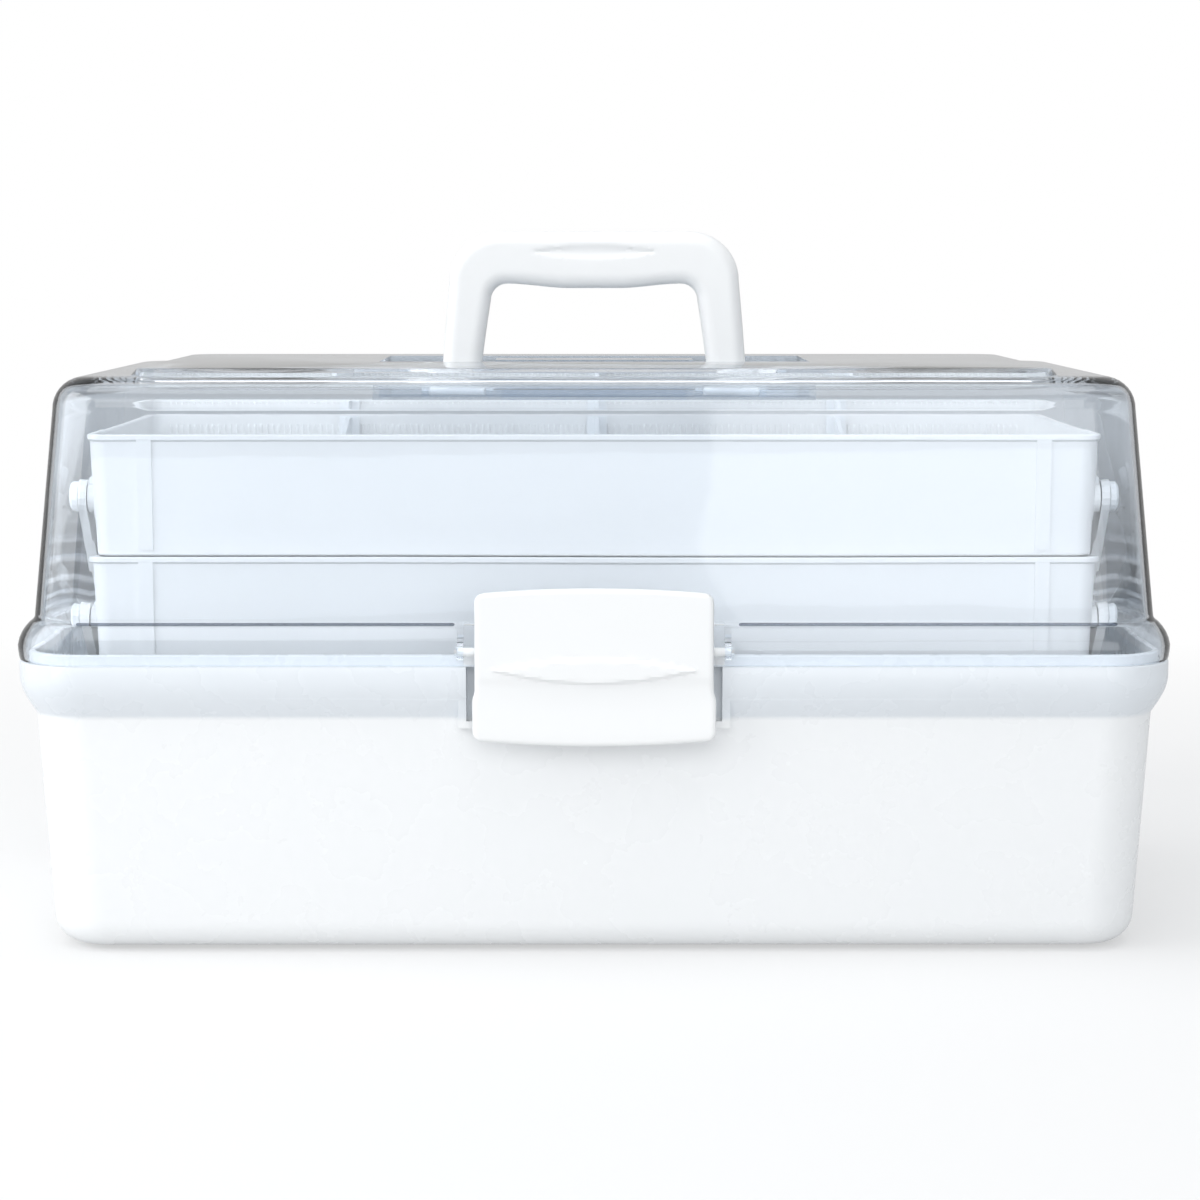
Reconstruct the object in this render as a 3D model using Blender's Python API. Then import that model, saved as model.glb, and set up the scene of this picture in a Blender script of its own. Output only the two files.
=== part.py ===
"""Art supply box: a moulded base, a clear hinged lid with a folding handle and a rocking latch,
and two cantilever trays on riveted parallel arms.

Units are metres. X runs along the width, -Y faces the front and Z is up.
The origin is the centre of the footprint, on the surface that the box stands on.
"""

import math

import bmesh
import bpy
from mathutils import Matrix, Vector

# ---------------------------------------------------------------- driving dimensions

CORNER_STEPS = 5  # facets in a quarter turn of a plan corner
FILLET_STEPS = 4  # facets in a quarter turn of a moulded edge
ROUND_STEPS = 16  # facets round a rivet or a boss
FINE_ROUND_STEPS = 12  # facets round a thin pin

# Base: half sizes in X and Y at each height.
FOOT_HALF = (0.154, 0.077)
FOOT_HEIGHT = 0.001
BASE_BOTTOM_HALF = (0.1845, 0.092)
BASE_TOP_HALF = (0.1890, 0.0975)
BASE_EDGE_RADIUS = 0.010
BASE_CORNER = 0.020
BASE_WALL = 0.0025
RIM_HALF = (0.1943, 0.103)
RIM_BOTTOM_Z = 0.081
RIM_WIDE_Z = 0.094
SEAM_Z = 0.099
LIP_TOP_Z = 0.1025
LIP_SET_IN = 0.0028
LIP_WALL = 0.0022

# Lid.
LID_WALL = 0.0022
LID_BOTTOM_Z = 0.0993
LID_SHOULDER_Z = 0.113
LID_SHOULDER_HALF = (0.1887, 0.1010)
LID_TOP_Z = 0.194
LID_TOP_HALF = (0.1825, 0.0950)
LID_EDGE_RADIUS = 0.011
LID_CORNER = 0.021
LID_INNER_EDGE_RADIUS = 0.0073
LID_INNER_CORNER = 0.0178
# Skirt: height, and how far it stands out.
SKIRT = ((0.1118, 0.0012), (0.1085, 0.0030), (0.1040, 0.0041), (0.1010, 0.0039),
         (LID_BOTTOM_Z, 0.0036))
PANEL_HALF = (0.157, 0.0825)
PANEL_RISE = 0.0027
WELL_HALF_X = 0.077
WELL_Y = (-0.010, 0.057)
WELL_FLOOR_Z = 0.1825
ISLAND_HALF_X = 0.0360
ISLAND_Y = (0.009, 0.029)
WELL_RIM_STEP = 0.0011  # the well's rim stands this far below the panel

# Lid hinge at the rear.
HINGE_Y = 0.107
HINGE_Z = 0.102
HINGE_BARREL_R = 0.003
HINGE_PIN_R = 0.0012
HINGE_HOLE_R = 0.00128
BASE_KNUCKLES = ((0.100, 0.112), (0.124, 0.136))
LID_KNUCKLE = (0.1124, 0.1236)
HINGE_TAB_FRONT_Y = 0.1018
HINGE_TAB_TOP_Z = 0.1090

# Handle, shown standing.
HANDLE_PIVOT_Z = 0.190
HANDLE_FOOT_R = 0.006
HANDLE_FOOT_X = (0.0395, 0.0591)
HANDLE_HALF_DEPTH = 0.006
HANDLE_TOP_Z = 0.243
HANDLE_BAR_UNDER_Z = 0.2244
HANDLE_BAR_SAG = 0.0016
HANDLE_SHOULDER_X = (0.0520, 0.0372)  # outer and inner, where the arms meet the bar
HANDLE_CORNER_R = (0.0175, 0.0060)
HANDLE_EDGE_R = 0.0045
HANDLE_PIN_R = 0.0015
HANDLE_HOLE_R = 0.00162
HANDLE_LUGS = ((0.0362, 0.0390), (0.0594, 0.0622))
HANDLE_LUG_R = 0.0042

# Latch on the front of the lid.
LATCH_HALF_X = 0.0395
LATCH_Z = (0.073, 0.1255)
LATCH_CROWN = 0.0018
LATCH_FRONT_Y = -0.110
LATCH_THICKNESS = 0.0034
LATCH_PIVOT = (-0.1036, 0.104)
LATCH_PIN_R = 0.0015
LATCH_HOLE_R = 0.00162
LATCH_EYE_R = 0.0029  # round the pin, on the ears and the lugs
LATCH_CORNER = 0.003
LATCH_FLARE = 0.0008
LATCH_LIP_HEIGHT = 0.016
LATCH_EARS = ((0.026, 0.030), (0.0345, 0.0375))
NOTCH_HALF_X = 0.0432
NOTCH_WALL = 0.0022
NOTCH_BACK_Y = -0.0998
NOTCH_BACKING_Y = (-0.1012, -0.0975)
BASE_NOTCH_HALF_X = 0.0425
BASE_NOTCH_BACK_Y = -0.0984
BASE_BACKING_HALF_X = 0.0452
BASE_BACKING_Y = (-0.1015, -0.0952)
BASE_BACKING_LOW_Z = 0.0782
FRONT_CLEAR_Y = -0.120  # in front of everything, where cutters start

# Trays.
TRAY_HALF_X = 0.1715
TRAY_Y = (-0.075, 0.070)
TRAY_HEIGHT = 0.0404
TRAY_BOTTOM_Z = {"mid": 0.0935, "top": 0.134}
TRAY_DRAFT = 0.0014
TRAY_RIM = 0.0008
TRAY_RIM_HEIGHT = 0.002
TRAY_CORNER = 0.006
TRAY_WALL = 0.0018
TRAY_EDGE_RADIUS = 0.003
BOSS_OUTER_X = 0.1720
BOSS_R = 0.0048

# Arms: three parallel links a side, leaning forward while the box is shut.
ARM_STAGE = (0.045, 0.0405)  # how far each stage sets back and drops
ARM_TOP_PIVOT = (-0.064, 0.153)  # long arm's pivot on the top tray, (Y, Z)
ARM_X = (0.1723, 0.1753)
ARM_HALF_WIDTH = 0.0058
RIVET_R = 0.0020
RIVET_HOLE_R = 0.0021
RIVET_HEAD_R = 0.0050
RIVET_HEAD = 0.0031
RIVET_TIP_TAPER = 0.0006
RIVET_INNER_X = 0.1672
BASE_BOSS_X = (0.1756, 0.1868)
BOSS_HOLE_DEPTH = 0.0045
GAP = 0.0003

# Dividers in the top tray.
DIVIDER_X = (-0.0935, 0.0010, 0.0925)
DIVIDER_WEB = 0.0016
DIVIDER_CLIP_HALF_X = 0.0038
DIVIDER_CLIP_DEPTH = 0.0022
DIVIDER_SCOOP = 0.007

WHITE = (0.86, 0.88, 0.90)
CLEAR = (0.80, 0.85, 0.90)


# ---------------------------------------------------------------- mesh helpers


def material(name, colour, roughness, alpha=1.0):
    made = bpy.data.materials.new(name)
    made.use_nodes = True
    shader = made.node_tree.nodes["Principled BSDF"]
    shader.inputs["Base Color"].default_value = (*colour, 1.0)
    shader.inputs["Roughness"].default_value = roughness
    shader.inputs["Metallic"].default_value = 0.0
    shader.inputs["Alpha"].default_value = alpha
    return made


def new_object(name, bm):
    """A linked mesh object made from a closed bmesh, with its faces turned outward."""
    bmesh.ops.recalc_face_normals(bm, faces=bm.faces)
    mesh = bpy.data.meshes.new(name)
    bm.to_mesh(mesh)
    bm.free()
    mesh.shade_smooth()
    mesh.set_sharp_from_angle(angle=math.radians(35))
    made = bpy.data.objects.new(name, mesh)
    bpy.context.scene.collection.objects.link(made)
    return made


def rounded_ring(z, half_x, half_y, corner, centre_y=0.0):
    """Points round a rounded rectangle at height z, counter-clockwise from above."""
    points = []
    quarter_centres = ((1, 1, 0), (-1, 1, 90), (-1, -1, 180), (1, -1, 270))
    for side_x, side_y, start in quarter_centres:
        for step in range(CORNER_STEPS + 1):
            angle = math.radians(start + 90 * step / CORNER_STEPS)
            x = side_x * (half_x - corner) + corner * math.cos(angle)
            y = side_y * (half_y - corner) + corner * math.sin(angle) + centre_y
            points.append(Vector((x, y, z)))
    return points


def loft(name, rings):
    """A closed solid through rings of equal point counts, capped at both ends."""
    bm = bmesh.new()
    add_loft(bm, rings)
    return new_object(name, bm)


def add_loft(bm, rings):
    made = [[bm.verts.new(point) for point in ring] for ring in rings]
    count = len(made[0])
    for lower, upper in zip(made, made[1:]):
        for i in range(count):
            j = (i + 1) % count
            bm.faces.new((lower[i], lower[j], upper[j], upper[i]))
    bm.faces.new(list(reversed(made[0])))
    bm.faces.new(made[-1])


def add_box(bm, low, high):
    corners = [
        [Vector((x, y, z)) for x, y in ((low[0], low[1]), (high[0], low[1]),
                                        (high[0], high[1]), (low[0], high[1]))]
        for z in (low[2], high[2])
    ]
    add_loft(bm, corners)


def add_rod(bm, x0, x1, centre, radius, steps):
    """A round bar along X between x0 and x1, centred on (Y, Z)."""
    rings = []
    for x in (x0, x1):
        turn = [2 * math.pi * (i + 0.5) / steps for i in range(steps)]
        rings.append([Vector((x, centre[0] + radius * math.cos(a),
                              centre[1] + radius * math.sin(a))) for a in turn])
    add_loft(bm, rings)


def add_plate(bm, outline, x0, x1):
    """A flat plate with a (Y, Z) outline, from x0 to x1."""
    add_loft(bm, [[Vector((x, y, z)) for y, z in outline] for x in (x0, x1)])


def tool(name, build):
    """A hidden solid that shapes another object. build(bm) adds its closed bodies."""
    bm = bmesh.new()
    build(bm)
    made = new_object(name, bm)
    made.hide_render = True
    made.display_type = "WIRE"
    return made


def combine(target, operation, name, build):
    modifier = target.modifiers.new(name, "BOOLEAN")
    modifier.operation = operation
    modifier.solver = "EXACT"
    modifier.object = tool(name, build)


def add_to(target, name, build):
    combine(target, "UNION", name, build)


def cut_from(target, name, build):
    combine(target, "DIFFERENCE", name, build)


def both_sides(span):
    """The span on the right, then its mirror on the left."""
    return (span, (-span[1], -span[0]))


def set_origin(obj, point):
    """Puts the object's origin on a joint's axis and leaves its shape in place."""
    obj.data.transform(Matrix.Translation(-Vector(point)))
    obj.location = point


def lerp(a, b, t):
    return a + (b - a) * t


# ---------------------------------------------------------------- base


def base_wall_half(z):
    """Outer half sizes of the base wall at height z, below the rim."""
    t = (z - FOOT_HEIGHT) / (RIM_BOTTOM_Z - FOOT_HEIGHT)
    return tuple(lerp(a, b, t) for a, b in zip(BASE_BOTTOM_HALF, BASE_TOP_HALF))


def bowl_edge(centre_z, radius, wall_half, corner):
    """Rings round the bottom edge of an open box, from its floor up to its wall."""
    rings = []
    for step in range(FILLET_STEPS + 1):
        angle = math.radians(-90 + 90 * step / FILLET_STEPS)
        z = centre_z + radius * math.sin(angle)
        inset = radius * (1 - math.cos(angle))
        rings.append(rounded_ring(z, wall_half[0] - inset, wall_half[1] - inset,
                                  max(corner - inset, 0.0015)))
    return rings


def base_outer_rings():
    edge_z = FOOT_HEIGHT + BASE_EDGE_RADIUS
    rings = [rounded_ring(z, *FOOT_HALF, 0.012) for z in (0.0, FOOT_HEIGHT)]
    rings += bowl_edge(edge_z, BASE_EDGE_RADIUS, base_wall_half(edge_z), BASE_CORNER)
    rings.append(rounded_ring(RIM_BOTTOM_Z, *BASE_TOP_HALF, BASE_CORNER))
    steps = 5
    for step in range(1, steps + 1):
        t = step / steps
        swell = math.sin(math.radians(90 * t))
        half = [lerp(a, b, swell) for a, b in zip(BASE_TOP_HALF, RIM_HALF)]
        z = lerp(RIM_BOTTOM_Z, RIM_WIDE_Z, t)
        rings.append(rounded_ring(z, *half, BASE_CORNER + 0.004 * swell))
    rings.append(rounded_ring(SEAM_Z, *RIM_HALF, BASE_CORNER + 0.004))
    return rings


def base_inner_rings():
    lip = [half - LIP_SET_IN for half in RIM_HALF]
    inner = [half - LIP_WALL for half in lip]
    lip_corner = BASE_CORNER + 0.0015
    rings = [
        rounded_ring(SEAM_Z, *lip, lip_corner),
        rounded_ring(LIP_TOP_Z, *lip, lip_corner),
        rounded_ring(LIP_TOP_Z, *inner, lip_corner - LIP_WALL),
        rounded_ring(RIM_WIDE_Z, *inner, lip_corner - LIP_WALL),
    ]
    wall_top = [half - BASE_WALL for half in BASE_TOP_HALF]
    middle = [lerp(a, b, 0.65) for a, b in zip(wall_top, inner)]
    rings.append(rounded_ring(RIM_BOTTOM_Z + 0.006, *middle, BASE_CORNER))
    rings.append(rounded_ring(RIM_BOTTOM_Z, *wall_top, BASE_CORNER - BASE_WALL))
    radius = BASE_EDGE_RADIUS - BASE_WALL
    centre_z = FOOT_HEIGHT + BASE_WALL + radius
    wall_low = [half - BASE_WALL for half in base_wall_half(centre_z)]
    rings += reversed(bowl_edge(centre_z, radius, wall_low, BASE_CORNER - BASE_WALL))
    return rings


def long_arm_pivots():
    """(Y, Z) of the long arm's pivots on the base, the mid tray and the top tray."""
    y, z = ARM_TOP_PIVOT
    back, drop = ARM_STAGE
    return [(y + back * n, z - drop * n) for n in (2, 1, 0)]


def lower_arm_pivots():
    base, mid, _ = long_arm_pivots()
    return [(y - ARM_STAGE[0], z) for y, z in (base, mid)]


def upper_arm_pivots():
    _, mid, top = long_arm_pivots()
    return [(y + ARM_STAGE[0], z) for y, z in (mid, top)]


def pivots_on_base():
    return [long_arm_pivots()[0], lower_arm_pivots()[0]]


def pivots_on_tray(which):
    if which == "mid":
        return [long_arm_pivots()[1], lower_arm_pivots()[1], upper_arm_pivots()[0]]
    return [long_arm_pivots()[2], upper_arm_pivots()[1]]


def base_knuckle_outline():
    """The bracket under a hinge barrel, clear of the lid's lower edge."""
    rim_y = RIM_HALF[1]
    back_y = HINGE_Y + HINGE_BARREL_R
    root_z, under_z = HINGE_Z - 0.010, HINGE_Z - 0.0025
    return [(rim_y - 0.002, root_z), (rim_y + 0.001, root_z), (back_y, under_z),
            (back_y, HINGE_Z), (rim_y + 0.001, HINGE_Z), (rim_y + 0.001, SEAM_Z - 0.0002),
            (rim_y - 0.002, SEAM_Z - 0.0002)]


def build_base():
    base = loft("base_box", base_outer_rings() + base_inner_rings())

    def backing(bm):
        front, back = BASE_BACKING_Y
        add_box(bm, (-BASE_BACKING_HALF_X, front, BASE_BACKING_LOW_Z),
                (BASE_BACKING_HALF_X, back, SEAM_Z - 0.0004))

    def notch(bm):
        half = BASE_NOTCH_HALF_X
        add_box(bm, (-half, FRONT_CLEAR_Y, RIM_BOTTOM_Z - 0.0005),
                (half, BASE_NOTCH_BACK_Y, SEAM_Z - 0.0001))

    def bosses(bm):
        for x0, x1 in both_sides(BASE_BOSS_X):
            for centre in pivots_on_base():
                add_rod(bm, x0, x1, centre, BOSS_R, ROUND_STEPS)

    def boss_holes(bm):
        blind_end = BASE_BOSS_X[0] + BOSS_HOLE_DEPTH
        for x0, x1 in both_sides((BASE_BOSS_X[0] - 0.002, blind_end)):
            for centre in pivots_on_base():
                add_rod(bm, x0, x1, centre, RIVET_HOLE_R, ROUND_STEPS)

    def knuckles(bm):
        for span in BASE_KNUCKLES:
            for x0, x1 in both_sides(span):
                add_plate(bm, base_knuckle_outline(), x0, x1)

    def barrels(bm):
        for span in BASE_KNUCKLES:
            for x0, x1 in both_sides(span):
                add_rod(bm, x0, x1, (HINGE_Y, HINGE_Z), HINGE_BARREL_R, FINE_ROUND_STEPS)

    def pin_holes(bm):
        for x0, x1 in both_sides((BASE_KNUCKLES[0][0] - 0.001, BASE_KNUCKLES[1][1] + 0.001)):
            add_rod(bm, x0, x1, (HINGE_Y, HINGE_Z), HINGE_HOLE_R, FINE_ROUND_STEPS)

    add_to(base, "base_notch_backing", backing)
    cut_from(base, "base_notch", notch)
    add_to(base, "base_bosses", bosses)
    cut_from(base, "base_boss_holes", boss_holes)
    add_to(base, "base_knuckle_brackets", knuckles)
    add_to(base, "base_barrels", barrels)
    cut_from(base, "base_pin_holes", pin_holes)
    base.data.materials.append(material("base_plastic", WHITE, 0.30))
    return base


# ---------------------------------------------------------------- lid


def lid_rings():
    """From the middle of the raised panel, down the outside and back up the inside."""
    top_z = LID_TOP_Z
    radius = LID_EDGE_RADIUS
    corner = LID_CORNER
    rings = [
        rounded_ring(top_z + PANEL_RISE, PANEL_HALF[0] - 0.001, PANEL_HALF[1] - 0.001, 0.012),
        rounded_ring(top_z, *PANEL_HALF, 0.013),
    ]
    outer = bowl_edge(0.0, radius, LID_TOP_HALF, corner)
    rings += [[Vector((p.x, p.y, top_z - radius - p.z)) for p in ring] for ring in outer]
    rings.append(rounded_ring(LID_SHOULDER_Z, *LID_SHOULDER_HALF, corner))
    rings += [skirt_ring(z, out) for z, out in SKIRT]
    rings += [skirt_ring(z, out, LID_WALL) for z, out in reversed(SKIRT)]
    inner_shoulder = [half - LID_WALL for half in LID_SHOULDER_HALF]
    rings.append(rounded_ring(LID_SHOULDER_Z + 0.0006, *inner_shoulder, LID_INNER_CORNER))
    inner_half = [half - LID_WALL for half in LID_TOP_HALF]
    inner_radius = LID_INNER_EDGE_RADIUS
    inner_z = top_z - LID_WALL
    inner = bowl_edge(0.0, inner_radius, inner_half, LID_INNER_CORNER)
    rings += [
        [Vector((p.x, p.y, inner_z - inner_radius - p.z)) for p in ring]
        for ring in reversed(inner)
    ]
    panel = [half - LID_WALL for half in PANEL_HALF]
    rings.append(rounded_ring(inner_z, *panel, 0.011))
    rings.append(rounded_ring(inner_z + PANEL_RISE, panel[0] - 0.001, panel[1] - 0.001, 0.010))
    return rings


def skirt_ring(z, out, inset=0.0):
    """The skirt stands out from the lid's shoulder, more at the sides than front and back."""
    half_x = LID_SHOULDER_HALF[0] + out * 1.5 - inset
    half_y = LID_SHOULDER_HALF[1] + (out - inset) * 0.6
    return rounded_ring(z, half_x, half_y, LID_CORNER + out - inset)


def build_lid():
    lid = loft("lid", lid_rings())
    wall = LID_WALL
    floor_low = WELL_FLOOR_Z - wall
    plate_z = LID_TOP_Z + PANEL_RISE
    notch_outer = NOTCH_HALF_X + NOTCH_WALL

    def well_block(bm):
        add_box(bm, (-WELL_HALF_X - wall, WELL_Y[0] - wall, floor_low),
                (WELL_HALF_X + wall, WELL_Y[1] + wall, plate_z - WELL_RIM_STEP))

    def well_pocket(bm):
        add_box(bm, (-WELL_HALF_X, WELL_Y[0], WELL_FLOOR_Z),
                (WELL_HALF_X, WELL_Y[1], LID_TOP_Z + 0.012))

    def island_and_lugs(bm):
        add_box(bm, (-ISLAND_HALF_X, ISLAND_Y[0], floor_low + 0.001),
                (ISLAND_HALF_X, ISLAND_Y[1], plate_z))
        outline = lug_outline(0.0, HANDLE_PIVOT_Z, HANDLE_LUG_R, floor_low + 0.001)
        for span in HANDLE_LUGS:
            for x0, x1 in both_sides(span):
                add_plate(bm, outline, x0, x1)

    def island_hollow(bm):
        add_box(bm, (-ISLAND_HALF_X + wall, ISLAND_Y[0] + wall, floor_low - 0.003),
                (ISLAND_HALF_X - wall, ISLAND_Y[1] - wall, plate_z - wall))

    def handle_pin_holes(bm):
        for x0, x1 in both_sides((HANDLE_LUGS[0][0] - 0.002, HANDLE_LUGS[1][1] + 0.002)):
            add_rod(bm, x0, x1, (0.0, HANDLE_PIVOT_Z), HANDLE_HOLE_R, FINE_ROUND_STEPS)

    def notch_backing(bm):
        front, back = NOTCH_BACKING_Y
        add_box(bm, (-notch_outer, front, LIP_TOP_Z + 0.0008),
                (notch_outer, back, LID_SHOULDER_Z - 0.0006))

    def latch_lugs(bm):
        for x0, x1 in both_sides((NOTCH_HALF_X - 0.0008, notch_outer)):
            add_plate(bm, latch_lug_outline(*LATCH_PIVOT), x0, x1)

    def notch(bm):
        add_box(bm, (-NOTCH_HALF_X, FRONT_CLEAR_Y, LID_BOTTOM_Z - 0.008),
                (NOTCH_HALF_X, NOTCH_BACK_Y, LID_SHOULDER_Z + 0.0006))

    def latch_pin_holes(bm):
        for x0, x1 in both_sides((NOTCH_HALF_X - 0.001, notch_outer + 0.001)):
            add_rod(bm, x0, x1, LATCH_PIVOT, LATCH_HOLE_R, FINE_ROUND_STEPS)

    def knuckle(bm):
        for x0, x1 in both_sides(LID_KNUCKLE):
            add_box(bm, (x0, HINGE_TAB_FRONT_Y, HINGE_Z + 0.0001),
                    (x1, HINGE_Y + HINGE_BARREL_R / 2, HINGE_TAB_TOP_Z))

    def barrel(bm):
        for x0, x1 in both_sides(LID_KNUCKLE):
            add_rod(bm, x0, x1, (HINGE_Y, HINGE_Z), HINGE_BARREL_R, FINE_ROUND_STEPS)

    def pin_hole(bm):
        for x0, x1 in both_sides((LID_KNUCKLE[0] - 0.001, LID_KNUCKLE[1] + 0.001)):
            add_rod(bm, x0, x1, (HINGE_Y, HINGE_Z), HINGE_HOLE_R, FINE_ROUND_STEPS)

    add_to(lid, "lid_well_block", well_block)
    cut_from(lid, "lid_well_pocket", well_pocket)
    add_to(lid, "lid_island", island_and_lugs)
    cut_from(lid, "lid_island_hollow", island_hollow)
    cut_from(lid, "lid_handle_pin_holes", handle_pin_holes)
    add_to(lid, "lid_notch_backing", notch_backing)
    add_to(lid, "lid_latch_lugs", latch_lugs)
    cut_from(lid, "lid_notch", notch)
    cut_from(lid, "lid_latch_pin_holes", latch_pin_holes)
    add_to(lid, "lid_knuckle", knuckle)
    add_to(lid, "lid_barrel", barrel)
    cut_from(lid, "lid_hinge_pin_hole", pin_hole)
    lid.data.materials.append(material("clear_plastic", CLEAR, 0.06, alpha=0.35))
    set_origin(lid, (0.0, HINGE_Y, HINGE_Z))
    return lid


def lug_outline(y, z, radius, foot_z):
    """A lug that stands on foot_z and is round above its pin."""
    points = [(y - radius, foot_z), (y + radius, foot_z)]
    for step in range(9):
        angle = math.pi * step / 8
        points.append((y + radius * math.cos(angle), z + radius * math.sin(angle)))
    return points


def latch_lug_outline(y, z):
    """A lug that grows out of the lid's wall, with a round nose about the latch pin."""
    radius = LATCH_EYE_R
    root_y = -0.0990
    points = [(root_y, z + radius + 0.003), (y, z + radius)]
    for step in range(1, 8):
        angle = math.pi * (0.5 + step / 8)
        points.append((y + radius * math.cos(angle), z + radius * math.sin(angle)))
    points += [(y, z - radius), (root_y - 0.0015, z - radius + 0.0014), (root_y, z)]
    return points


def build_hinge_pins():
    span = (BASE_KNUCKLES[0][0] + 0.0002, BASE_KNUCKLES[1][1] - 0.0002)
    for side, (x0, x1) in zip(("right", "left"), both_sides(span)):
        bm = bmesh.new()
        add_rod(bm, x0, x1, (HINGE_Y, HINGE_Z), HINGE_PIN_R, FINE_ROUND_STEPS)
        pin = new_object("lid_hinge_pin_" + side, bm)
        pin.data.materials.append(material("pin_steel_" + side, (0.60, 0.61, 0.62), 0.30))
        set_origin(pin, (0.0, HINGE_Y, HINGE_Z))


# ---------------------------------------------------------------- handle


def quarter(centre, radius, start, steps):
    """Points in the XZ plane round a quarter turn that runs clockwise from start."""
    points = []
    for step in range(steps + 1):
        angle = math.radians(start - 90 * step / steps)
        points.append((centre[0] + radius * math.cos(angle),
                       centre[1] + radius * math.sin(angle)))
    return points


def handle_outlines():
    """Matching outer and inner points, from the left foot over the bar to the right foot."""
    steps = 6
    foot_z = HANDLE_PIVOT_Z + 0.001
    outer_r, inner_r = HANDLE_CORNER_R
    shoulder_x, inner_x = HANDLE_SHOULDER_X
    bar_under_z, sag = HANDLE_BAR_UNDER_Z, HANDLE_BAR_SAG
    outer = [(-0.05475, foot_z), (-0.0536, foot_z + 0.018)]
    inner = [(-0.0409, foot_z), (-0.0397, foot_z + 0.014)]
    outer += quarter((-shoulder_x + outer_r, HANDLE_TOP_Z - outer_r), outer_r, 180, steps)
    inner += quarter((-inner_x + inner_r, bar_under_z - inner_r), inner_r, 180, steps)
    for x in (-0.018, -0.006):
        outer.append((x * 1.1, HANDLE_TOP_Z))
        inner.append((x, bar_under_z - sag * math.cos(math.radians(90 * x / 0.03))))
    outer += [(-x, z) for x, z in reversed(outer)]
    inner += [(-x, z) for x, z in reversed(inner)]
    return outer, inner


def handle_section(outer, inner):
    """A rounded cross-section that spans one outer and one inner point."""
    middle = Vector(((outer[0] + inner[0]) / 2, 0.0, (outer[1] + inner[1]) / 2))
    across = Vector((outer[0] - inner[0], 0.0, outer[1] - inner[1]))
    half = across.length / 2
    across.normalize()
    corner = HANDLE_EDGE_R
    points = []
    for side_u, side_v, start in ((1, 1, 0), (-1, 1, 90), (-1, -1, 180), (1, -1, 270)):
        for step in range(4):
            angle = math.radians(start + 30 * step)
            u = side_u * (half - corner) + corner * math.cos(angle)
            v = side_v * (HANDLE_HALF_DEPTH - corner) + corner * math.sin(angle)
            points.append(middle + across * u + Vector((0.0, v, 0.0)))
    return points


def build_handle():
    outer, inner = handle_outlines()
    handle = loft("handle", [handle_section(o, i) for o, i in zip(outer, inner)])

    def feet(bm):
        for x0, x1 in both_sides(HANDLE_FOOT_X):
            add_rod(bm, x0, x1, (0.0, HANDLE_PIVOT_Z), HANDLE_FOOT_R, ROUND_STEPS)

    def holes(bm):
        for x0, x1 in both_sides((HANDLE_FOOT_X[0] - 0.001, HANDLE_FOOT_X[1] + 0.001)):
            add_rod(bm, x0, x1, (0.0, HANDLE_PIVOT_Z), HANDLE_HOLE_R, FINE_ROUND_STEPS)

    add_to(handle, "handle_feet", feet)
    cut_from(handle, "handle_holes", holes)
    handle.data.materials.append(material("handle_plastic", WHITE, 0.28))
    set_origin(handle, (0.0, 0.0, HANDLE_PIVOT_Z))
    span = (HANDLE_LUGS[0][0] + 0.0002, HANDLE_LUGS[1][1] - 0.0002)
    for side, (x0, x1) in zip(("right", "left"), both_sides(span)):
        bm = bmesh.new()
        add_rod(bm, x0, x1, (0.0, HANDLE_PIVOT_Z), HANDLE_PIN_R, FINE_ROUND_STEPS)
        pin = new_object("handle_pin_" + side, bm)
        pin.data.materials.append(material("handle_pin_plastic_" + side, WHITE, 0.35))
        set_origin(pin, (0.0, 0.0, HANDLE_PIVOT_Z))
    return handle


# ---------------------------------------------------------------- latch


def latch_edge(z, crown):
    """Half an outline's top or bottom edge: it bows outward by crown at the middle."""
    steps = 6
    half = LATCH_HALF_X - LATCH_CORNER
    points = []
    for step in range(steps + 1):
        x = lerp(-half, half, step / steps)
        points.append((x, z - crown * (x / half) ** 2))
    return points


def latch_outline():
    """(X, Z) points round the latch plate."""
    low, high = LATCH_Z
    top = latch_edge(high, LATCH_CROWN)
    bottom = [(x, low + (low - z)) for x, z in latch_edge(low, LATCH_CROWN)]
    side, flared = LATCH_HALF_X, LATCH_HALF_X + LATCH_FLARE
    lip_z = low + LATCH_LIP_HEIGHT
    right = [(side, high - LATCH_CROWN - LATCH_CORNER), (side, lip_z + 0.002),
             (flared, lip_z - 0.002), (flared, low + LATCH_CROWN + LATCH_CORNER)]
    left = [(-x, z) for x, z in reversed(right)]
    return top + right + list(reversed(bottom)) + left


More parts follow.
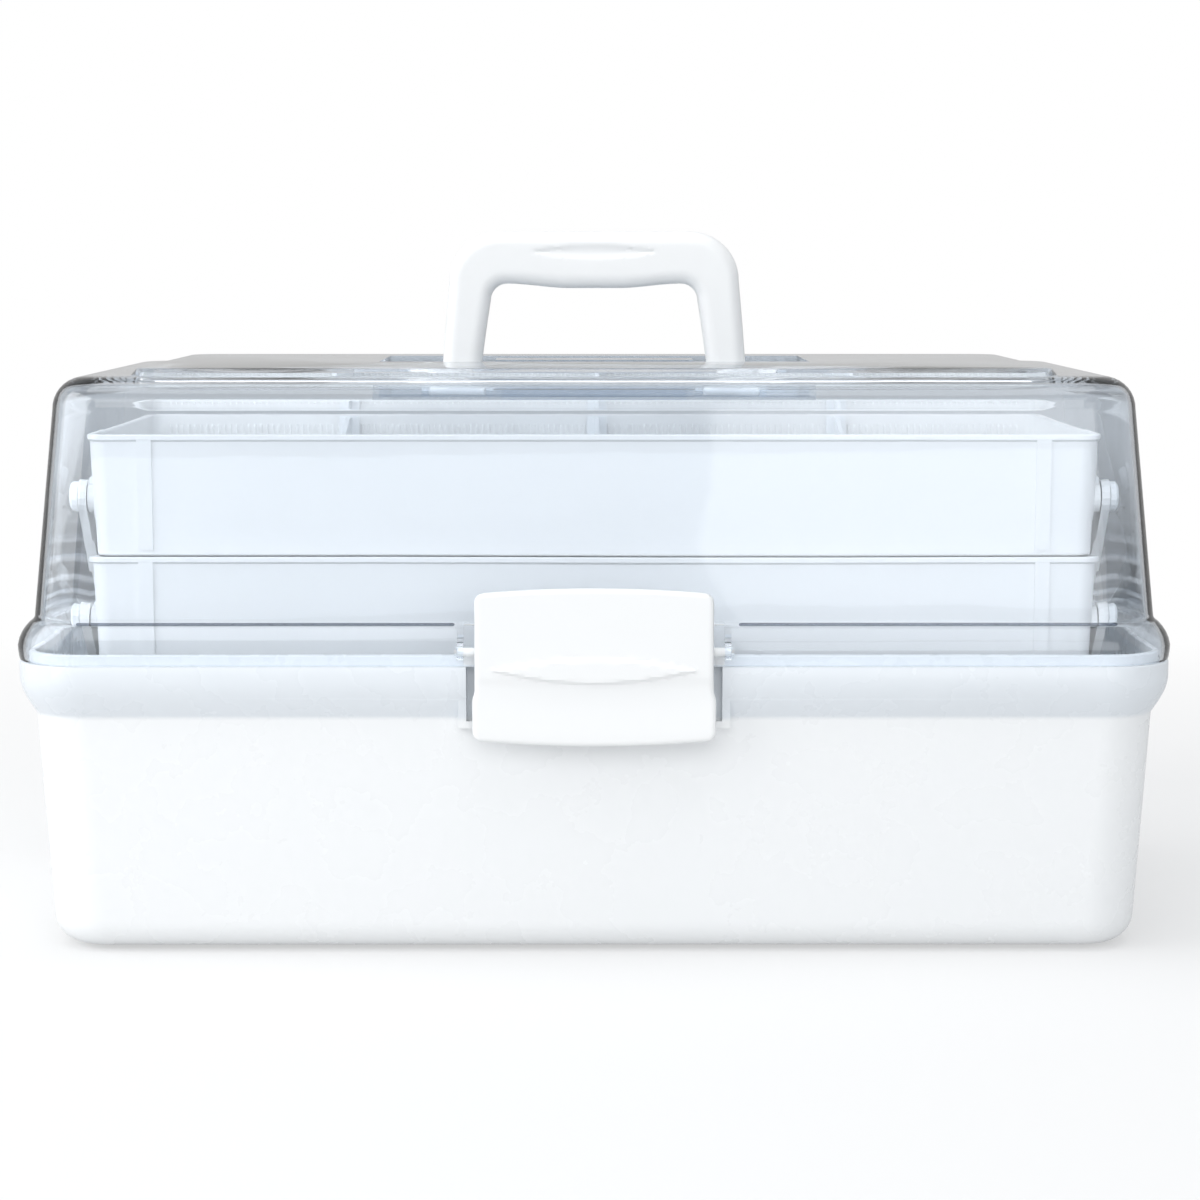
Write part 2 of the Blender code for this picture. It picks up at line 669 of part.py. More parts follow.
def build_latch():
    bm = bmesh.new()
    back_y = LATCH_FRONT_Y + LATCH_THICKNESS
    bevel = 0.0010
    centre_z = sum(LATCH_Z) / 2

    def ring(y, inset):
        scale_x = 1 - inset / LATCH_HALF_X
        scale_z = 1 - inset / (LATCH_Z[1] - centre_z)
        return [Vector((x * scale_x, y, centre_z + (z - centre_z) * scale_z))
                for x, z in latch_outline()]

    rings = [ring(back_y, bevel / 2), ring(back_y - bevel / 2, 0.0),
             ring(LATCH_FRONT_Y + bevel, 0.0), ring(LATCH_FRONT_Y, bevel)]
    add_loft(bm, rings)
    latch = new_object("latch", bm)

    def ears(bm):
        for span in LATCH_EARS:
            for x0, x1 in both_sides(span):
                add_plate(bm, ear_outline(), x0, x1)

    def holes(bm):
        for x0, x1 in both_sides((LATCH_EARS[0][0] - 0.001, LATCH_EARS[1][1] + 0.001)):
            add_rod(bm, x0, x1, LATCH_PIVOT, LATCH_HOLE_R, FINE_ROUND_STEPS)

    add_to(latch, "latch_ears", ears)
    cut_from(latch, "latch_holes", holes)
    latch.data.materials.append(material("latch_plastic", WHITE, 0.28))
    set_origin(latch, (0.0, *LATCH_PIVOT))

    bm = bmesh.new()
    half = NOTCH_HALF_X + NOTCH_WALL - 0.0002
    add_rod(bm, -half, half, LATCH_PIVOT, LATCH_PIN_R, FINE_ROUND_STEPS)
    pin = new_object("latch_pin", bm)
    pin.data.materials.append(material("latch_pin_plastic", WHITE, 0.35))
    set_origin(pin, (0.0, *LATCH_PIVOT))


def ear_outline():
    """An ear from the back of the latch plate, round about the pin."""
    y, z = LATCH_PIVOT
    radius = LATCH_EYE_R
    root_y = LATCH_FRONT_Y + LATCH_THICKNESS - 0.001
    points = [(root_y, z + radius + 0.001), (root_y, z - radius - 0.001)]
    for step in range(9):
        angle = math.pi * (-0.5 + step / 8)
        points.append((y + radius * math.cos(angle), z + radius * math.sin(angle)))
    return points


# ---------------------------------------------------------------- trays and dividers


def tray_rings(bottom_z):
    """From the floor's edge up the outside to the rim, then down the inside."""
    top_z = bottom_z + TRAY_HEIGHT
    centre_y = sum(TRAY_Y) / 2
    rim = (TRAY_HALF_X, (TRAY_Y[1] - TRAY_Y[0]) / 2)
    wall_top = [half - TRAY_RIM for half in rim]
    wall_low = [half - TRAY_DRAFT for half in wall_top]
    edge = TRAY_EDGE_RADIUS
    rings = []
    for step in range(3):
        angle = math.radians(-90 + 45 * step)
        inset = edge * (1 - math.cos(angle))
        z = bottom_z + edge + edge * math.sin(angle)
        rings.append(rounded_ring(z, wall_low[0] - inset, wall_low[1] - inset,
                                  TRAY_CORNER - inset, centre_y))
    under_rim = top_z - TRAY_RIM_HEIGHT
    rings.append(rounded_ring(under_rim - 0.0004, *wall_top, TRAY_CORNER, centre_y))
    rings.append(rounded_ring(under_rim, *rim, TRAY_CORNER, centre_y))
    rings.append(rounded_ring(top_z, *rim, TRAY_CORNER, centre_y))
    inner_top = [half - TRAY_RIM - TRAY_WALL for half in rim]
    inner_low = [half - TRAY_DRAFT for half in inner_top]
    inner_corner = TRAY_CORNER - TRAY_WALL
    rings.append(rounded_ring(top_z, *inner_top, inner_corner, centre_y))
    floor_z = bottom_z + TRAY_WALL
    rings.append(rounded_ring(floor_z + 0.0015, *inner_low, inner_corner, centre_y))
    rings.append(rounded_ring(floor_z, inner_low[0] - 0.0015, inner_low[1] - 0.0015,
                              inner_corner - 0.001, centre_y))
    return rings


def build_tray(which):
    tray = loft(which + "_tray", tray_rings(TRAY_BOTTOM_Z[which]))
    centres = pivots_on_tray(which)

    def bosses(bm):
        for x0, x1 in both_sides((TRAY_HALF_X - 0.0026, BOSS_OUTER_X)):
            for centre in centres:
                add_rod(bm, x0, x1, centre, BOSS_R, ROUND_STEPS)

    def holes(bm):
        for x0, x1 in both_sides((TRAY_HALF_X - 0.006, BOSS_OUTER_X + 0.001)):
            for centre in centres:
                add_rod(bm, x0, x1, centre, RIVET_HOLE_R, ROUND_STEPS)

    add_to(tray, which + "_tray_bosses", bosses)
    cut_from(tray, which + "_tray_holes", holes)
    tray.data.materials.append(material(which + "_tray_plastic", WHITE, 0.32))
    set_origin(tray, (0.0, *centres[0]))
    return tray


def divider_outline(y0, y1, low, high):
    """(Y, Z) outline of a divider's web: its top edge is scooped between the clips."""
    steps = 8
    shoulder = 0.012
    points = [(y0, low), (y1, low), (y1, high)]
    for step in range(steps + 1):
        t = step / steps
        y = lerp(y1 - shoulder, y0 + shoulder, t)
        points.append((y, high - DIVIDER_SCOOP * math.sin(math.pi * t) ** 0.7))
    points.append((y0, high))
    return points


def build_dividers():
    bottom_z = TRAY_BOTTOM_Z["top"]
    low = bottom_z + TRAY_WALL + 0.0018
    high = bottom_z + TRAY_HEIGHT - 0.0008
    set_in = TRAY_RIM + TRAY_WALL + TRAY_DRAFT + GAP
    y0, y1 = TRAY_Y[0] + set_in, TRAY_Y[1] - set_in
    for number, x in enumerate(DIVIDER_X, start=1):
        bm = bmesh.new()
        add_plate(bm, divider_outline(y0 + 0.0008, y1 - 0.0008, low, high),
                  x - DIVIDER_WEB / 2, x + DIVIDER_WEB / 2)
        divider = new_object("divider_" + str(number), bm)

        def clips(bm, x=x):
            for start in (y0, y1 - DIVIDER_CLIP_DEPTH):
                add_box(bm, (x - DIVIDER_CLIP_HALF_X, start, low - 0.0002),
                        (x + DIVIDER_CLIP_HALF_X, start + DIVIDER_CLIP_DEPTH, high + 0.0004))

        add_to(divider, "divider_clips_" + str(number), clips)
        divider.data.materials.append(material("divider_plastic_" + str(number), WHITE, 0.35))


# ---------------------------------------------------------------- arms and rivets


def capsule_outline(start, end, half_width):
    """(Y, Z) outline of a straight link with round ends."""
    along = math.atan2(end[1] - start[1], end[0] - start[0])
    points = []
    for centre, turn in ((end, -0.5 * math.pi), (start, 0.5 * math.pi)):
        for step in range(9):
            angle = along + turn + math.pi * step / 8
            points.append((centre[0] + half_width * math.cos(angle),
                           centre[1] + half_width * math.sin(angle)))
    return points


def build_arm(name, pivots, span):
    bm = bmesh.new()
    add_plate(bm, capsule_outline(pivots[0], pivots[-1], ARM_HALF_WIDTH), *span)
    arm = new_object(name, bm)

    def holes(bm):
        for centre in pivots:
            add_rod(bm, span[0] - 0.001, span[1] + 0.001, centre, RIVET_HOLE_R, ROUND_STEPS)

    cut_from(arm, name + "_holes", holes)
    arm.data.materials.append(material(name + "_plastic", WHITE, 0.32))
    set_origin(arm, (0.0, *pivots[0]))


def build_rivet(name, centre, side, head_inside):
    """A rivet turned about X. Its head is on the tray's side of a base pivot, outside elsewhere."""
    if head_inside:
        seat = ARM_X[0] - GAP
        tip = BASE_BOSS_X[0] + BOSS_HOLE_DEPTH - GAP
        profile = [(seat - RIVET_HEAD, RIVET_HEAD_R * 0.8),
                   (seat - RIVET_HEAD * 0.7, RIVET_HEAD_R),
                   (seat, RIVET_HEAD_R), (seat, RIVET_R),
                   (tip - RIVET_TIP_TAPER, RIVET_R), (tip, RIVET_R * 0.7)]
    else:
        seat = ARM_X[1] + GAP
        profile = [(RIVET_INNER_X, RIVET_R * 0.7), (RIVET_INNER_X + RIVET_TIP_TAPER, RIVET_R),
                   (seat, RIVET_R), (seat, RIVET_HEAD_R),
                   (seat + RIVET_HEAD * 0.7, RIVET_HEAD_R),
                   (seat + RIVET_HEAD, RIVET_HEAD_R * 0.8)]
    rings = []
    for x, radius in profile:
        turn = [2 * math.pi * (i + 0.5) / ROUND_STEPS for i in range(ROUND_STEPS)]
        rings.append([Vector((side * x, centre[0] + radius * math.cos(a),
                              centre[1] + radius * math.sin(a))) for a in turn])
    rivet = loft(name, rings)
    rivet.data.materials.append(material(name + "_plastic", WHITE, 0.30))
    set_origin(rivet, (0.0, *centre))


def build_arms():
    long_names, lower_names, upper_names = ("base", "mid", "top"), ("base", "mid"), ("mid", "top")
    links = (("long", long_arm_pivots(), long_names),
             ("lower", lower_arm_pivots(), lower_names),
             ("upper", upper_arm_pivots(), upper_names))
    for side_name, side, span in zip(("right", "left"), (1, -1), both_sides(ARM_X)):
        for kind, pivots, places in links:
            build_arm(kind + "_arm_" + side_name, pivots, span)
            for place, centre in zip(places, pivots):
                name = "rivet_" + kind + "_" + place + "_" + side_name
                build_rivet(name, centre, side, head_inside=place == "base")


# ---------------------------------------------------------------- assembly


def main():
    for obj in list(bpy.data.objects):
        bpy.data.objects.remove(obj)
    build_base()
    build_lid()
    build_hinge_pins()
    build_handle()
    build_latch()
    for which in ("mid", "top"):
        build_tray(which)
    build_dividers()
    build_arms()


main()
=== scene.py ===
"""Looks of the art supply box: fine moulded shells, comb slots, materials, light and camera.

Metres, +Z up, -Y to the front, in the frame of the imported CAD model.
"""

import math

import bmesh  # noqa: E402
import bpy  # noqa: E402
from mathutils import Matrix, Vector  # noqa: E402


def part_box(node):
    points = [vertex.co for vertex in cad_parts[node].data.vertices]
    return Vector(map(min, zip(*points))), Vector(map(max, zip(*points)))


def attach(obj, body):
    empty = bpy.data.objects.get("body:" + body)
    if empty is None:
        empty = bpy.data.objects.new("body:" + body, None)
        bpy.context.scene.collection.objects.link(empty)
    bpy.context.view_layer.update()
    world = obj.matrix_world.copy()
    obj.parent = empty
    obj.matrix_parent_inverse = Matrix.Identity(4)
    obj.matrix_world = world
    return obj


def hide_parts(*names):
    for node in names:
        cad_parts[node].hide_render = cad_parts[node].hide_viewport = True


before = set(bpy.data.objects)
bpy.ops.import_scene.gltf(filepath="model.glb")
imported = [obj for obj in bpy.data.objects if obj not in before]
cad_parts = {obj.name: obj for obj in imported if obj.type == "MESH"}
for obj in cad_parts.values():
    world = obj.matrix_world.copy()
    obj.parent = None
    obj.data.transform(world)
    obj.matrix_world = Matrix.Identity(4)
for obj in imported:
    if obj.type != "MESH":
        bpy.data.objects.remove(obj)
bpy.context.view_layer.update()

# ---------------------------------------------------------------- sizes

CORNER_STEPS = 14  # facets in a quarter turn of a plan corner
FILLET_STEPS = 9  # facets in a quarter turn of a moulded edge
ROUND_STEPS = 32  # facets round a boss or a pin

MM = 0.001

# Base, with the CAD's own sizes.
FOOT_HALF = (0.154, 0.077)
FOOT_HEIGHT = 0.001
FOOT_CORNER = 0.012
BASE_BOTTOM_HALF = (0.1845, 0.092)
BASE_TOP_HALF = (0.1890, 0.0975)
BASE_EDGE_RADIUS = 0.010
BASE_CORNER = 0.020
BASE_WALL = 0.0025
RIM_HALF = (0.1943, 0.103)
RIM_BOTTOM_Z = 0.081
RIM_WIDE_Z = 0.094
SEAM_Z = 0.099
LIP_TOP_Z = 0.1025
LIP_SET_IN = 0.0028
LIP_WALL = 0.0022
BASE_NOTCH_HALF_X = 0.0425
BASE_NOTCH_Y = (-0.115, -0.0984)
BASE_BACKING_HALF_X = 0.0452
BASE_BACKING_Y = (-0.1015, -0.0952)
BASE_BACKING_Z = 0.0782
BASE_BOSS_X = (0.1756, 0.1868)
BASE_BOSS_HOLE_X = (0.1736, 0.1801)
RIM_SWELL_STEPS = 14
RIM_CORNER_GAIN = 0.004  # the rim's plan corner is this much wider than the wall's

# Lid.
LID_WALL = 0.0022
LID_SHOULDER_Z = 0.113
LID_SHOULDER_HALF = (0.1887, 0.1010)
LID_TOP_Z = 0.194
LID_TOP_HALF = (0.1825, 0.0950)
LID_EDGE_RADIUS = 0.011
LID_CORNER = 0.021
LID_INNER_EDGE_RADIUS = 0.0073
LID_INNER_CORNER = 0.0178
PANEL_HALF = (0.157, 0.0825)
PANEL_RISE = 0.0027
PANEL_CORNER = 0.010
WELL_HALF_X = 0.077
WELL_Y = (-0.010, 0.057)
WELL_FLOOR_Z = 0.1825
WELL_RIM_STEP = 0.0011  # the well's rim stands this far below the panel
ISLAND_HALF_X = 0.0360
ISLAND_Y = (0.009, 0.029)
NOTCH_HALF_X = 0.0432
NOTCH_WALL = 0.0022
NOTCH_BACK_Y = -0.0998
NOTCH_BACKING_Y = (-0.1012, -0.0975)
FRONT_CLEAR = (-0.120, 0.091)  # Y and Z where the notch cutter starts, clear of the lid
# Where the strips of painted shade sit under the front shoulder: a dark line standing in for the
# shade that the clear shoulder step shows edge-on.
LEDGE_Z = 0.1126
LEDGE_HALF = 0.0006
LEDGE_Y = (-0.0993, -0.0984)
LEDGE_X = (("left", -0.1717, -0.0463), ("right", 0.0480, 0.1735))

# Joints.
HINGE_AXIS = (0.107, 0.102)
HINGE_BARREL_R = 0.003
HINGE_HOLE_R = 0.00128
BASE_KNUCKLES = ((0.100, 0.112), (0.124, 0.136))
LID_KNUCKLE = (0.1124, 0.1236)
HINGE_TAB_FRONT_Y = 0.1018
HINGE_TAB_TOP_Z = 0.1090
HANDLE_LUG_R = 0.0042
HANDLE_AXIS = (0.0, 0.190)
HANDLE_FOOT_R = 0.006
HANDLE_FOOT_X = (0.0395, 0.0591)
HANDLE_HALF_DEPTH = 0.006
HANDLE_TOP_Z = 0.243
HANDLE_UNDER_Z = 0.2244
HANDLE_SAG = 0.0016
HANDLE_FOOT_EDGE_X = (-0.05475, -0.0409)  # outer and inner, of the left arm
HANDLE_SHOULDER_X = (-0.0520, -0.0372)
HANDLE_CORNER_R = (0.0175, 0.0060)
HANDLE_EDGE_R = 0.0046
GROOVE_HALF_LENGTH = 0.0232
GROOVE_HALF_HEIGHT = 0.0026
GROOVE_Z = 0.2358
GROOVE_DEPTH = 0.0007
HANDLE_LUGS = ((0.0362, 0.0390), (0.0594, 0.0622))
LATCH_AXIS = (-0.1036, 0.104)
LATCH_HALF_X = 0.0395
LATCH_Z = (0.073, 0.1255)
LATCH_CROWN = 0.0018
LATCH_FRONT_Y = -0.110
LATCH_THICKNESS = 0.0034
LATCH_EARS = ((0.026, 0.030), (0.0345, 0.0375))
LATCH_EAR_R = 0.0029
LATCH_CORNER = 0.0032
LATCH_ROLL = 0.0016
LATCH_FLARE = 0.0008
RIDGE_HALF = (0.0352, 0.0046)  # X and Z of the lens ridge
RIDGE_Z = 0.0983
RIDGE_HEIGHT = 0.0015
LIP_DISH = 0.0006
SMALL_HOLE_R = 0.00162

# Trays.
TRAY_HALF_X = 0.1715
TRAY_Y = (-0.075, 0.070)
TRAY_HEIGHT = 0.0404
TRAY_DRAFT = 0.0014
TRAY_RIM = 0.0008
TRAY_RIM_HEIGHT = 0.002
TRAY_CORNER = 0.006
TRAY_WALL = 0.0018
TRAY_EDGE_RADIUS = 0.0014
BOSS_OUTER_X = 0.1720
BOSS_R = 0.0048
RIVET_HOLE_R = 0.0021
COMB_PITCH = 0.0023
COMB_HALF_LENGTH = 0.1635
COMB_TOOTH = 0.0010
COMB_REACH = 0.0009
RIB_X = 0.1520
RIB_HALF = 0.0025
RIB_OUT = 0.00075


def lerp(a, b, t):
    return a + (b - a) * t


def smooth(t):
    """0 below 0, 1 above 1, and a soft step between."""
    t = min(max(t, 0.0), 1.0)
    return t * t * (3 - 2 * t)


# ---------------------------------------------------------------- materials


def principled(name, colour, roughness):
    made = bpy.data.materials.new(name)
    made.use_nodes = True
    shader = made.node_tree.nodes["Principled BSDF"]
    shader.inputs["Base Color"].default_value = (*colour, 1.0)
    shader.inputs["Roughness"].default_value = roughness
    return made, made.node_tree, shader


def noise(tree, scale, detail=2.0):
    """A noise texture in the object's own metres."""
    where = tree.nodes.new("ShaderNodeTexCoord")
    made = tree.nodes.new("ShaderNodeTexNoise")
    made.inputs["Scale"].default_value = scale
    made.inputs["Detail"].default_value = detail
    tree.links.new(where.outputs["Object"], made.inputs["Vector"])
    return made


def remap(tree, source, low, high):
    """Maps a noise factor from its usual 0.3..0.7 to low..high."""
    made = tree.nodes.new("ShaderNodeMapRange")
    made.inputs["From Min"].default_value = 0.3
    made.inputs["From Max"].default_value = 0.7
    made.inputs["To Min"].default_value = low
    made.inputs["To Max"].default_value = high
    tree.links.new(source, made.inputs["Value"])
    return made.outputs["Result"]


def moulded_plastic(name, colour, shade, roughness, grain=0.03, painted_shade=None):
    """Moulded plastic: faint flow shading, uneven gloss and a very fine surface grain.

    The last argument gives (low Z, high Z, strength) of a belt of painted shade, where the colour is
    multiplied a little greyer as if in shade.
    """
    made, tree, shader = principled(name, colour, roughness)
    flow = noise(tree, 9.0, 3.0)
    ramp = tree.nodes.new("ShaderNodeMix")
    ramp.data_type = "RGBA"
    ramp.inputs[6].default_value = (*colour, 1.0)
    ramp.inputs[7].default_value = (*shade, 1.0)
    tree.links.new(flow.outputs["Fac"], ramp.inputs[0])
    tree.links.new(paint_shade_band(tree, ramp.outputs[2], painted_shade) if painted_shade else ramp.outputs[2],
                   shader.inputs["Base Color"])
    gloss = noise(tree, 60.0, 4.0)
    tree.links.new(remap(tree, gloss.outputs["Fac"], roughness - 0.02, roughness + 0.03),
                   shader.inputs["Roughness"])
    fine = noise(tree, 2600.0, 2.0)
    bump = tree.nodes.new("ShaderNodeBump")
    bump.inputs["Strength"].default_value = grain
    bump.inputs["Distance"].default_value = 0.0002
    tree.links.new(fine.outputs["Fac"], bump.inputs["Height"])
    tree.links.new(bump.outputs["Normal"], shader.inputs["Normal"])
    shader.inputs["IOR"].default_value = 1.49
    return made


def paint_shade_band(tree, colour, painted_shade):
    """The colour with painted shade between two heights, where it is multiplied a little greyer."""
    low, high, strength = painted_shade
    where = tree.nodes.new("ShaderNodeTexCoord")
    split = tree.nodes.new("ShaderNodeSeparateXYZ")
    tree.links.new(where.outputs["Object"], split.inputs["Vector"])
    both = tree.nodes.new("ShaderNodeMath")
    both.operation = "MULTIPLY"
    for number, (start, end) in enumerate(((low - 0.0008, low + 0.0012),
                                           (high + 0.0003, high + 0.0001))):
        edge = tree.nodes.new("ShaderNodeMapRange")
        edge.interpolation_type = "SMOOTHSTEP"
        edge.inputs["From Min"].default_value = start
        edge.inputs["From Max"].default_value = end
        tree.links.new(split.outputs["Z"], edge.inputs["Value"])
        tree.links.new(edge.outputs["Result"], both.inputs[number])
    mix = tree.nodes.new("ShaderNodeMix")
    mix.data_type = "RGBA"
    mix.blend_type = "MULTIPLY"
    mix.inputs[7].default_value = strength
    tree.links.new(both.outputs["Value"], mix.inputs[0])
    tree.links.new(colour, mix.inputs[6])
    return mix.outputs[2]


def clear_plastic(name, tint, roughness):
    """Clear styrene that bends and mirrors light, and lets lamps shine through it."""
    made, tree, shader = principled(name, tint, roughness)
    shader.inputs["Transmission Weight"].default_value = 1.0
    shader.inputs["IOR"].default_value = 1.45
    waves = noise(tree, 28.0, 2.0)
    bump = tree.nodes.new("ShaderNodeBump")
    bump.inputs["Strength"].default_value = 0.12
    bump.inputs["Distance"].default_value = 0.0006
    tree.links.new(waves.outputs["Fac"], bump.inputs["Height"])
    tree.links.new(bump.outputs["Normal"], shader.inputs["Normal"])
    haze = noise(tree, 140.0, 3.0)
    tree.links.new(remap(tree, haze.outputs["Fac"], roughness * 0.6, roughness * 1.6),
                   shader.inputs["Roughness"])
    path = tree.nodes.new("ShaderNodeLightPath")
    passing = tree.nodes.new("ShaderNodeBsdfTransparent")
    passing.inputs["Color"].default_value = (*[c ** 0.2 for c in tint], 1.0)
    mix = tree.nodes.new("ShaderNodeMixShader")
    tree.links.new(path.outputs["Is Shadow Ray"], mix.inputs["Fac"])
    tree.links.new(shader.outputs["BSDF"], mix.inputs[1])
    tree.links.new(passing.outputs["BSDF"], mix.inputs[2])
    tree.links.new(mix.outputs["Shader"], tree.nodes["Material Output"].inputs["Surface"])
    return made


def drawn_steel(name):
    made, tree, shader = principled(name, (0.62, 0.63, 0.64), 0.28)
    shader.inputs["Metallic"].default_value = 1.0
    drag = noise(tree, 900.0, 2.0)
    tree.links.new(remap(tree, drag.outputs["Fac"], 0.2, 0.38), shader.inputs["Roughness"])
    return made


MATERIALS = {
    # The base's rim belt, from the foot of the rim's swell up to the seam, gets painted shade: a
    # greyer blue multiplied into the white, standing in for the shade on the rim's underside.
    "base": moulded_plastic("white_base", (0.86, 0.875, 0.885), (0.856, 0.872, 0.883), 0.27,
                            painted_shade=(RIM_BOTTOM_Z, SEAM_Z, (0.86, 0.89, 0.925, 1.0))),
    "grip": moulded_plastic("white_grip", (0.86, 0.87, 0.875), (0.856, 0.867, 0.873), 0.30),
    "tray": moulded_plastic("white_tray", (0.85, 0.85, 0.845), (0.84, 0.845, 0.845), 0.33),
    "divider": moulded_plastic("milky_divider", (0.86, 0.875, 0.885), (0.84, 0.86, 0.88), 0.36),
    "lid": clear_plastic("clear_lid", (0.86, 0.90, 0.945), 0.03),
    # Dark glass of the strips under the front shoulder: painted shade, not a tint of the lid.
    "ledge_shade": clear_plastic("painted_ledge_shade", (0.16, 0.19, 0.24), 0.05),
    "steel": drawn_steel("drawn_steel"),
}


# ---------------------------------------------------------------- mesh helpers


def finish_mesh(name, bm, material, body, stands_for=(), bevel=0.0):
    """A shaded object from a closed bmesh that rides on a body of the frame."""
    bmesh.ops.recalc_face_normals(bm, faces=bm.faces)
    mesh = bpy.data.meshes.new(name)
    bm.to_mesh(mesh)
    bm.free()
    made = bpy.data.objects.new(name, mesh)
    bpy.context.scene.collection.objects.link(made)
    mesh.materials.append(MATERIALS[material])
    mesh.shade_smooth()
    mesh.set_sharp_from_angle(angle=math.radians(32))
    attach(made, body)
    if stands_for:
        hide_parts(*stands_for)
    if bevel:
        soften(made, bevel)
    return made


def soften(obj, width, segments=3):
    """A small moulded radius on every sharp edge."""
    bevel = obj.modifiers.new("soft_edges", "BEVEL")
    bevel.width = width
    bevel.segments = segments
    bevel.limit_method = "ANGLE"
    bevel.angle_limit = math.radians(38)
    bevel.harden_normals = False
    return bevel


def rounded_ring(z, half_x, half_y, corner, centre_y=0.0):
    """Points round a rounded rectangle at height z, counter-clockwise from above."""
    points = []
    for side_x, side_y, start in ((1, 1, 0), (-1, 1, 90), (-1, -1, 180), (1, -1, 270)):
        for step in range(CORNER_STEPS + 1):
            angle = math.radians(start + 90 * step / CORNER_STEPS)
            x = side_x * (half_x - corner) + corner * math.cos(angle)
            y = side_y * (half_y - corner) + corner * math.sin(angle) + centre_y
            points.append(Vector((x, y, z)))
    return points


def add_loft(bm, rings):
    made = [[bm.verts.new(point) for point in ring] for ring in rings]
    count = len(made[0])
    for lower, upper in zip(made, made[1:]):
        for i in range(count):
            j = (i + 1) % count
            bm.faces.new((lower[i], lower[j], upper[j], upper[i]))
    bm.faces.new(list(reversed(made[0])))
    bm.faces.new(made[-1])


def add_box(bm, low, high):
    add_loft(bm, [
        [Vector((x, y, z)) for x, y in ((low[0], low[1]), (high[0], low[1]),
                                        (high[0], high[1]), (low[0], high[1]))]
        for z in (low[2], high[2])
    ])


def add_rod(bm, x0, x1, centre, radius, steps=ROUND_STEPS):
    """A round bar along X between x0 and x1, centred on (Y, Z)."""
    turn = [2 * math.pi * (i + 0.5) / steps for i in range(steps)]
    add_plate(bm, [(centre[0] + radius * math.cos(a), centre[1] + radius * math.sin(a))
                   for a in turn], x0, x1)


def add_plate(bm, outline, x0, x1):
    """A flat plate with a (Y, Z) outline, from x0 to x1."""
    add_loft(bm, [[Vector((x, y, z)) for y, z in outline] for x in (x0, x1)])


def both_sides(span):
    return (span, (-span[1], -span[0]))


def carve(target, steps):
    """Adds and cuts tool solids in order, then keeps the result as the object's mesh."""
    tools = []
    for number, (operation, build) in enumerate(steps):
        bm = bmesh.new()
        build(bm)
        bmesh.ops.recalc_face_normals(bm, faces=bm.faces)
        mesh = bpy.data.meshes.new("tool")
        bm.to_mesh(mesh)
        bm.free()
        tool = bpy.data.objects.new("tool", mesh)
        bpy.context.scene.collection.objects.link(tool)
        tool.hide_render = True
        tools.append(tool)
        modifier = target.modifiers.new("step" + str(number), "BOOLEAN")
        modifier.operation = operation
        modifier.object = tool
    bpy.context.view_layer.update()
    graph = bpy.context.evaluated_depsgraph_get()
    carved = bpy.data.meshes.new_from_object(target.evaluated_get(graph))
    target.modifiers.clear()
    carved.name = target.name
    target.data = carved
    carved.shade_smooth()
    carved.set_sharp_from_angle(angle=math.radians(32))
    for tool in tools:
        bpy.data.objects.remove(tool)


def bowl_edge(centre_z, radius, wall_half, corner):
    """Rings round the bottom edge of an open box, from its floor up to its wall."""
    rings = []
    for step in range(FILLET_STEPS + 1):
        angle = math.radians(-90 + 90 * step / FILLET_STEPS)
        inset = radius * (1 - math.cos(angle))
        rings.append(rounded_ring(centre_z + radius * math.sin(angle), wall_half[0] - inset,
                                  wall_half[1] - inset, max(corner - inset, 0.0015)))
    return rings


def flipped(rings, top_z):
    """The same rings upside down, hanging from top_z."""
    return [[Vector((p.x, p.y, top_z - p.z)) for p in ring] for ring in rings]


# ---------------------------------------------------------------- base


def base_wall_half(z):
    t = (z - FOOT_HEIGHT) / (RIM_BOTTOM_Z - FOOT_HEIGHT)
    return tuple(lerp(a, b, t) for a, b in zip(BASE_BOTTOM_HALF, BASE_TOP_HALF))


